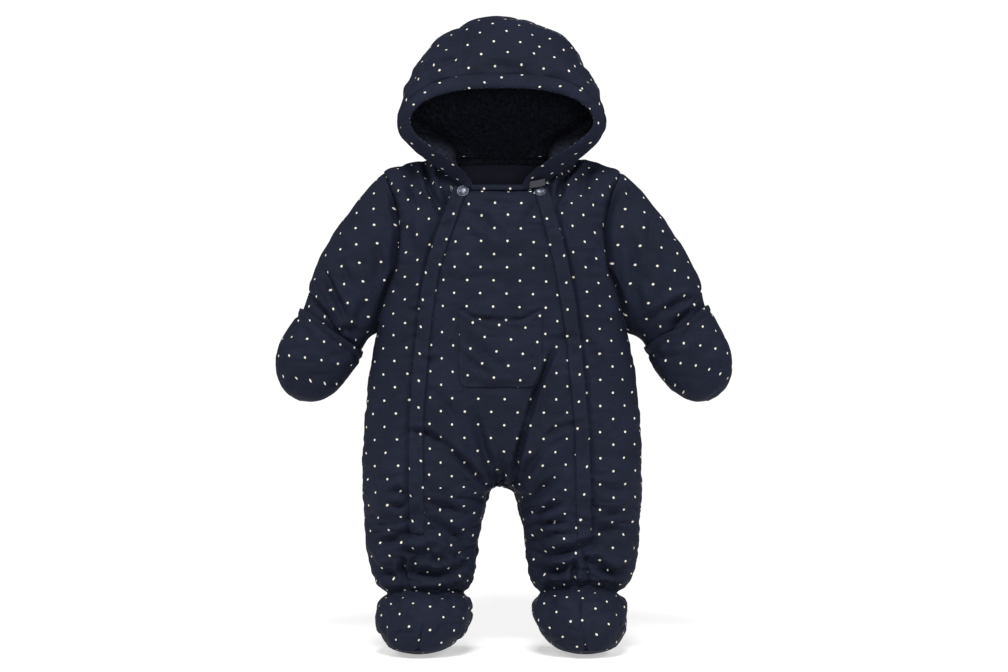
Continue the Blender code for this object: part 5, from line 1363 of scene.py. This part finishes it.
points = np.concatenate(points)
pieces["topstitching"] = addMesh("topstitching", points, faces, faces, points[:, ::2], threadFinish)
print("poppers, zip ends, tape and stitches made")

# ---- what each piece stands for, and the width, length and area that it is cut to, in metres ----

nodes = {"zipTape": None, "topstitching": None, "frontCentre": "front_centre", "neckBinding": "neck_binding",
         "neckFacing": "neck_facing", "hoodBand": "hood_band", "hoodCentre": "hood_centre",
         "liningCentre": "lining_centre"}
stems = {"front": "front", "hood": "hood", "lining": "lining", "sleeve": "sleeve", "mitt": "mitt",
         "flap": "zip_flap",
         "popper": "popper", "zipEnd": "zip_end"}
for word in ("Left", "Right"):
    for stem, node in stems.items():
        nodes[stem + word] = node + "_" + word.lower()
    for part in ("Outer", "Inner", "Sole"):
        nodes["boot" + word + part] = "boot_" + word.lower() + "_" + part.lower()
cuts = {
    "back": (0.37, 0.62, 0.152), "frontCentre": (0.205, 0.50, 0.073), "frontLeft": (0.114, 0.58, 0.0365),
    "frontRight": (0.12, 0.58, 0.039),
    "flap": (0.016, 0.415, 0.0066), "pocket": (0.089, 0.094, 0.0073), "sleeve": (0.40, 0.21, 0.038),
    "mitt": (0.26, 0.105, 0.0195),
    "bootOuter": (0.18, 0.062, 0.0108), "bootInner": (0.18, 0.062, 0.0108), "bootSole": (0.07, 0.11, 0.0062),
    "hoodCentre": (0.088, 0.325, 0.0262),
    "hoodBand": (0.42, 0.028, 0.0095), "hood": (0.215, 0.30, 0.0285), "liningCentre": (0.088, 0.315, 0.0245),
    "lining": (0.215, 0.29, 0.0272),
    "neckBinding": (0.064, 0.012, 0.0006), "neckFacing": (0.16, 0.062, 0.0065),
}
for name, piece in pieces.items():
    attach(piece, "root")
    if nodes.get(name, name):
        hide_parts(nodes.get(name, name))
    if name.startswith(("popper", "zip", "topstitching")):
        continue
    width, length, area = cuts.get(name, cuts.get(name.replace("Left", "").replace("Right", "")))

# ---- studio: a white floor before a white backdrop, with soft lamps in front, at both sides and behind ----

studio = {
    "floor": -0.5356, "half": 2.2, "front": -0.9, "back": 1.3, "paper": 0.7, "glow": 0.46, "backdrop": 1.05,
    "ambient": 0.14, "sensor": 36, "lens": 97.4, "camera": (0.0022, -3.0, -0.188),
    "lamps": (
        ("key", (-0.06, -2.3, 2.3), 0.9, 104), ("fill", (0.2, -3.4, -0.1), 0.9, 30),
        ("left", (-2.4, -0.6, 1.6), 1.2, 36),
        ("right", (2.4, -0.6, 1.6), 1.2, 36), ("behind", (0.1, 3.0, 0.5), 1.4, 24),
    ),
}


def whiteFloor():
    across, along = (-studio["half"], studio["half"]), (studio["front"], studio["back"])
    corners = [(x, y, studio["floor"]) for y in along for x in across]
    data = bpy.data.meshes.new("whiteFloor")
    data.from_pydata(corners, [], [(0, 1, 3, 2)])
    floor = bpy.data.objects.new("whiteFloor", data)
    bpy.context.scene.collection.objects.link(floor)
    paper, _, shader = newFinish("white studio paper", 0.9)
    shader.inputs["Base Color"].default_value = (studio["paper"], studio["paper"], studio["paper"], 1)
    shader.inputs["Specular IOR Level"].default_value = 0.0
    shader.inputs["Emission Color"].default_value = (1, 1, 1, 1)
    shader.inputs["Emission Strength"].default_value = studio["glow"]
    data.materials.append(paper)


def softLamp(name, place, size, power, aim=(0, 0, -0.2)):
    lamp = bpy.data.objects.new(name, bpy.data.lights.new(name, "AREA"))
    lamp.data.size = size
    lamp.data.energy = power
    lamp.location = place
    lamp.rotation_euler = (Vector(aim) - Vector(place)).to_track_quat("-Z", "Y").to_euler()
    lamp.visible_camera = False
    bpy.context.scene.collection.objects.link(lamp)


whiteFloor()
for name, place, size, power in studio["lamps"]:
    softLamp(name, place, size, power)
world = bpy.data.worlds.new("studio")
bpy.context.scene.world = world
world.use_nodes = True
rays = addNode(world.node_tree, "ShaderNodeLightPath").outputs["Is Camera Ray"]
backdrop = addNode(world.node_tree, "ShaderNodeMapRange",
                   {0: rays, 3: studio["ambient"], 4: studio["backdrop"]}).outputs[0]
world.node_tree.links.new(backdrop, world.node_tree.nodes["Background"].inputs["Strength"])
world.node_tree.nodes["Background"].inputs["Color"].default_value = (1, 1, 1, 1)

camera = bpy.data.objects.new("camera", bpy.data.cameras.new("camera"))
bpy.context.scene.collection.objects.link(camera)
camera.data.sensor_width = studio["sensor"]
camera.data.lens = studio["lens"]
camera.location = studio["camera"]
camera.rotation_euler = (math.radians(90), 0, 0)
bpy.context.scene.camera = camera
bpy.context.scene.view_settings.view_transform = "Standard"
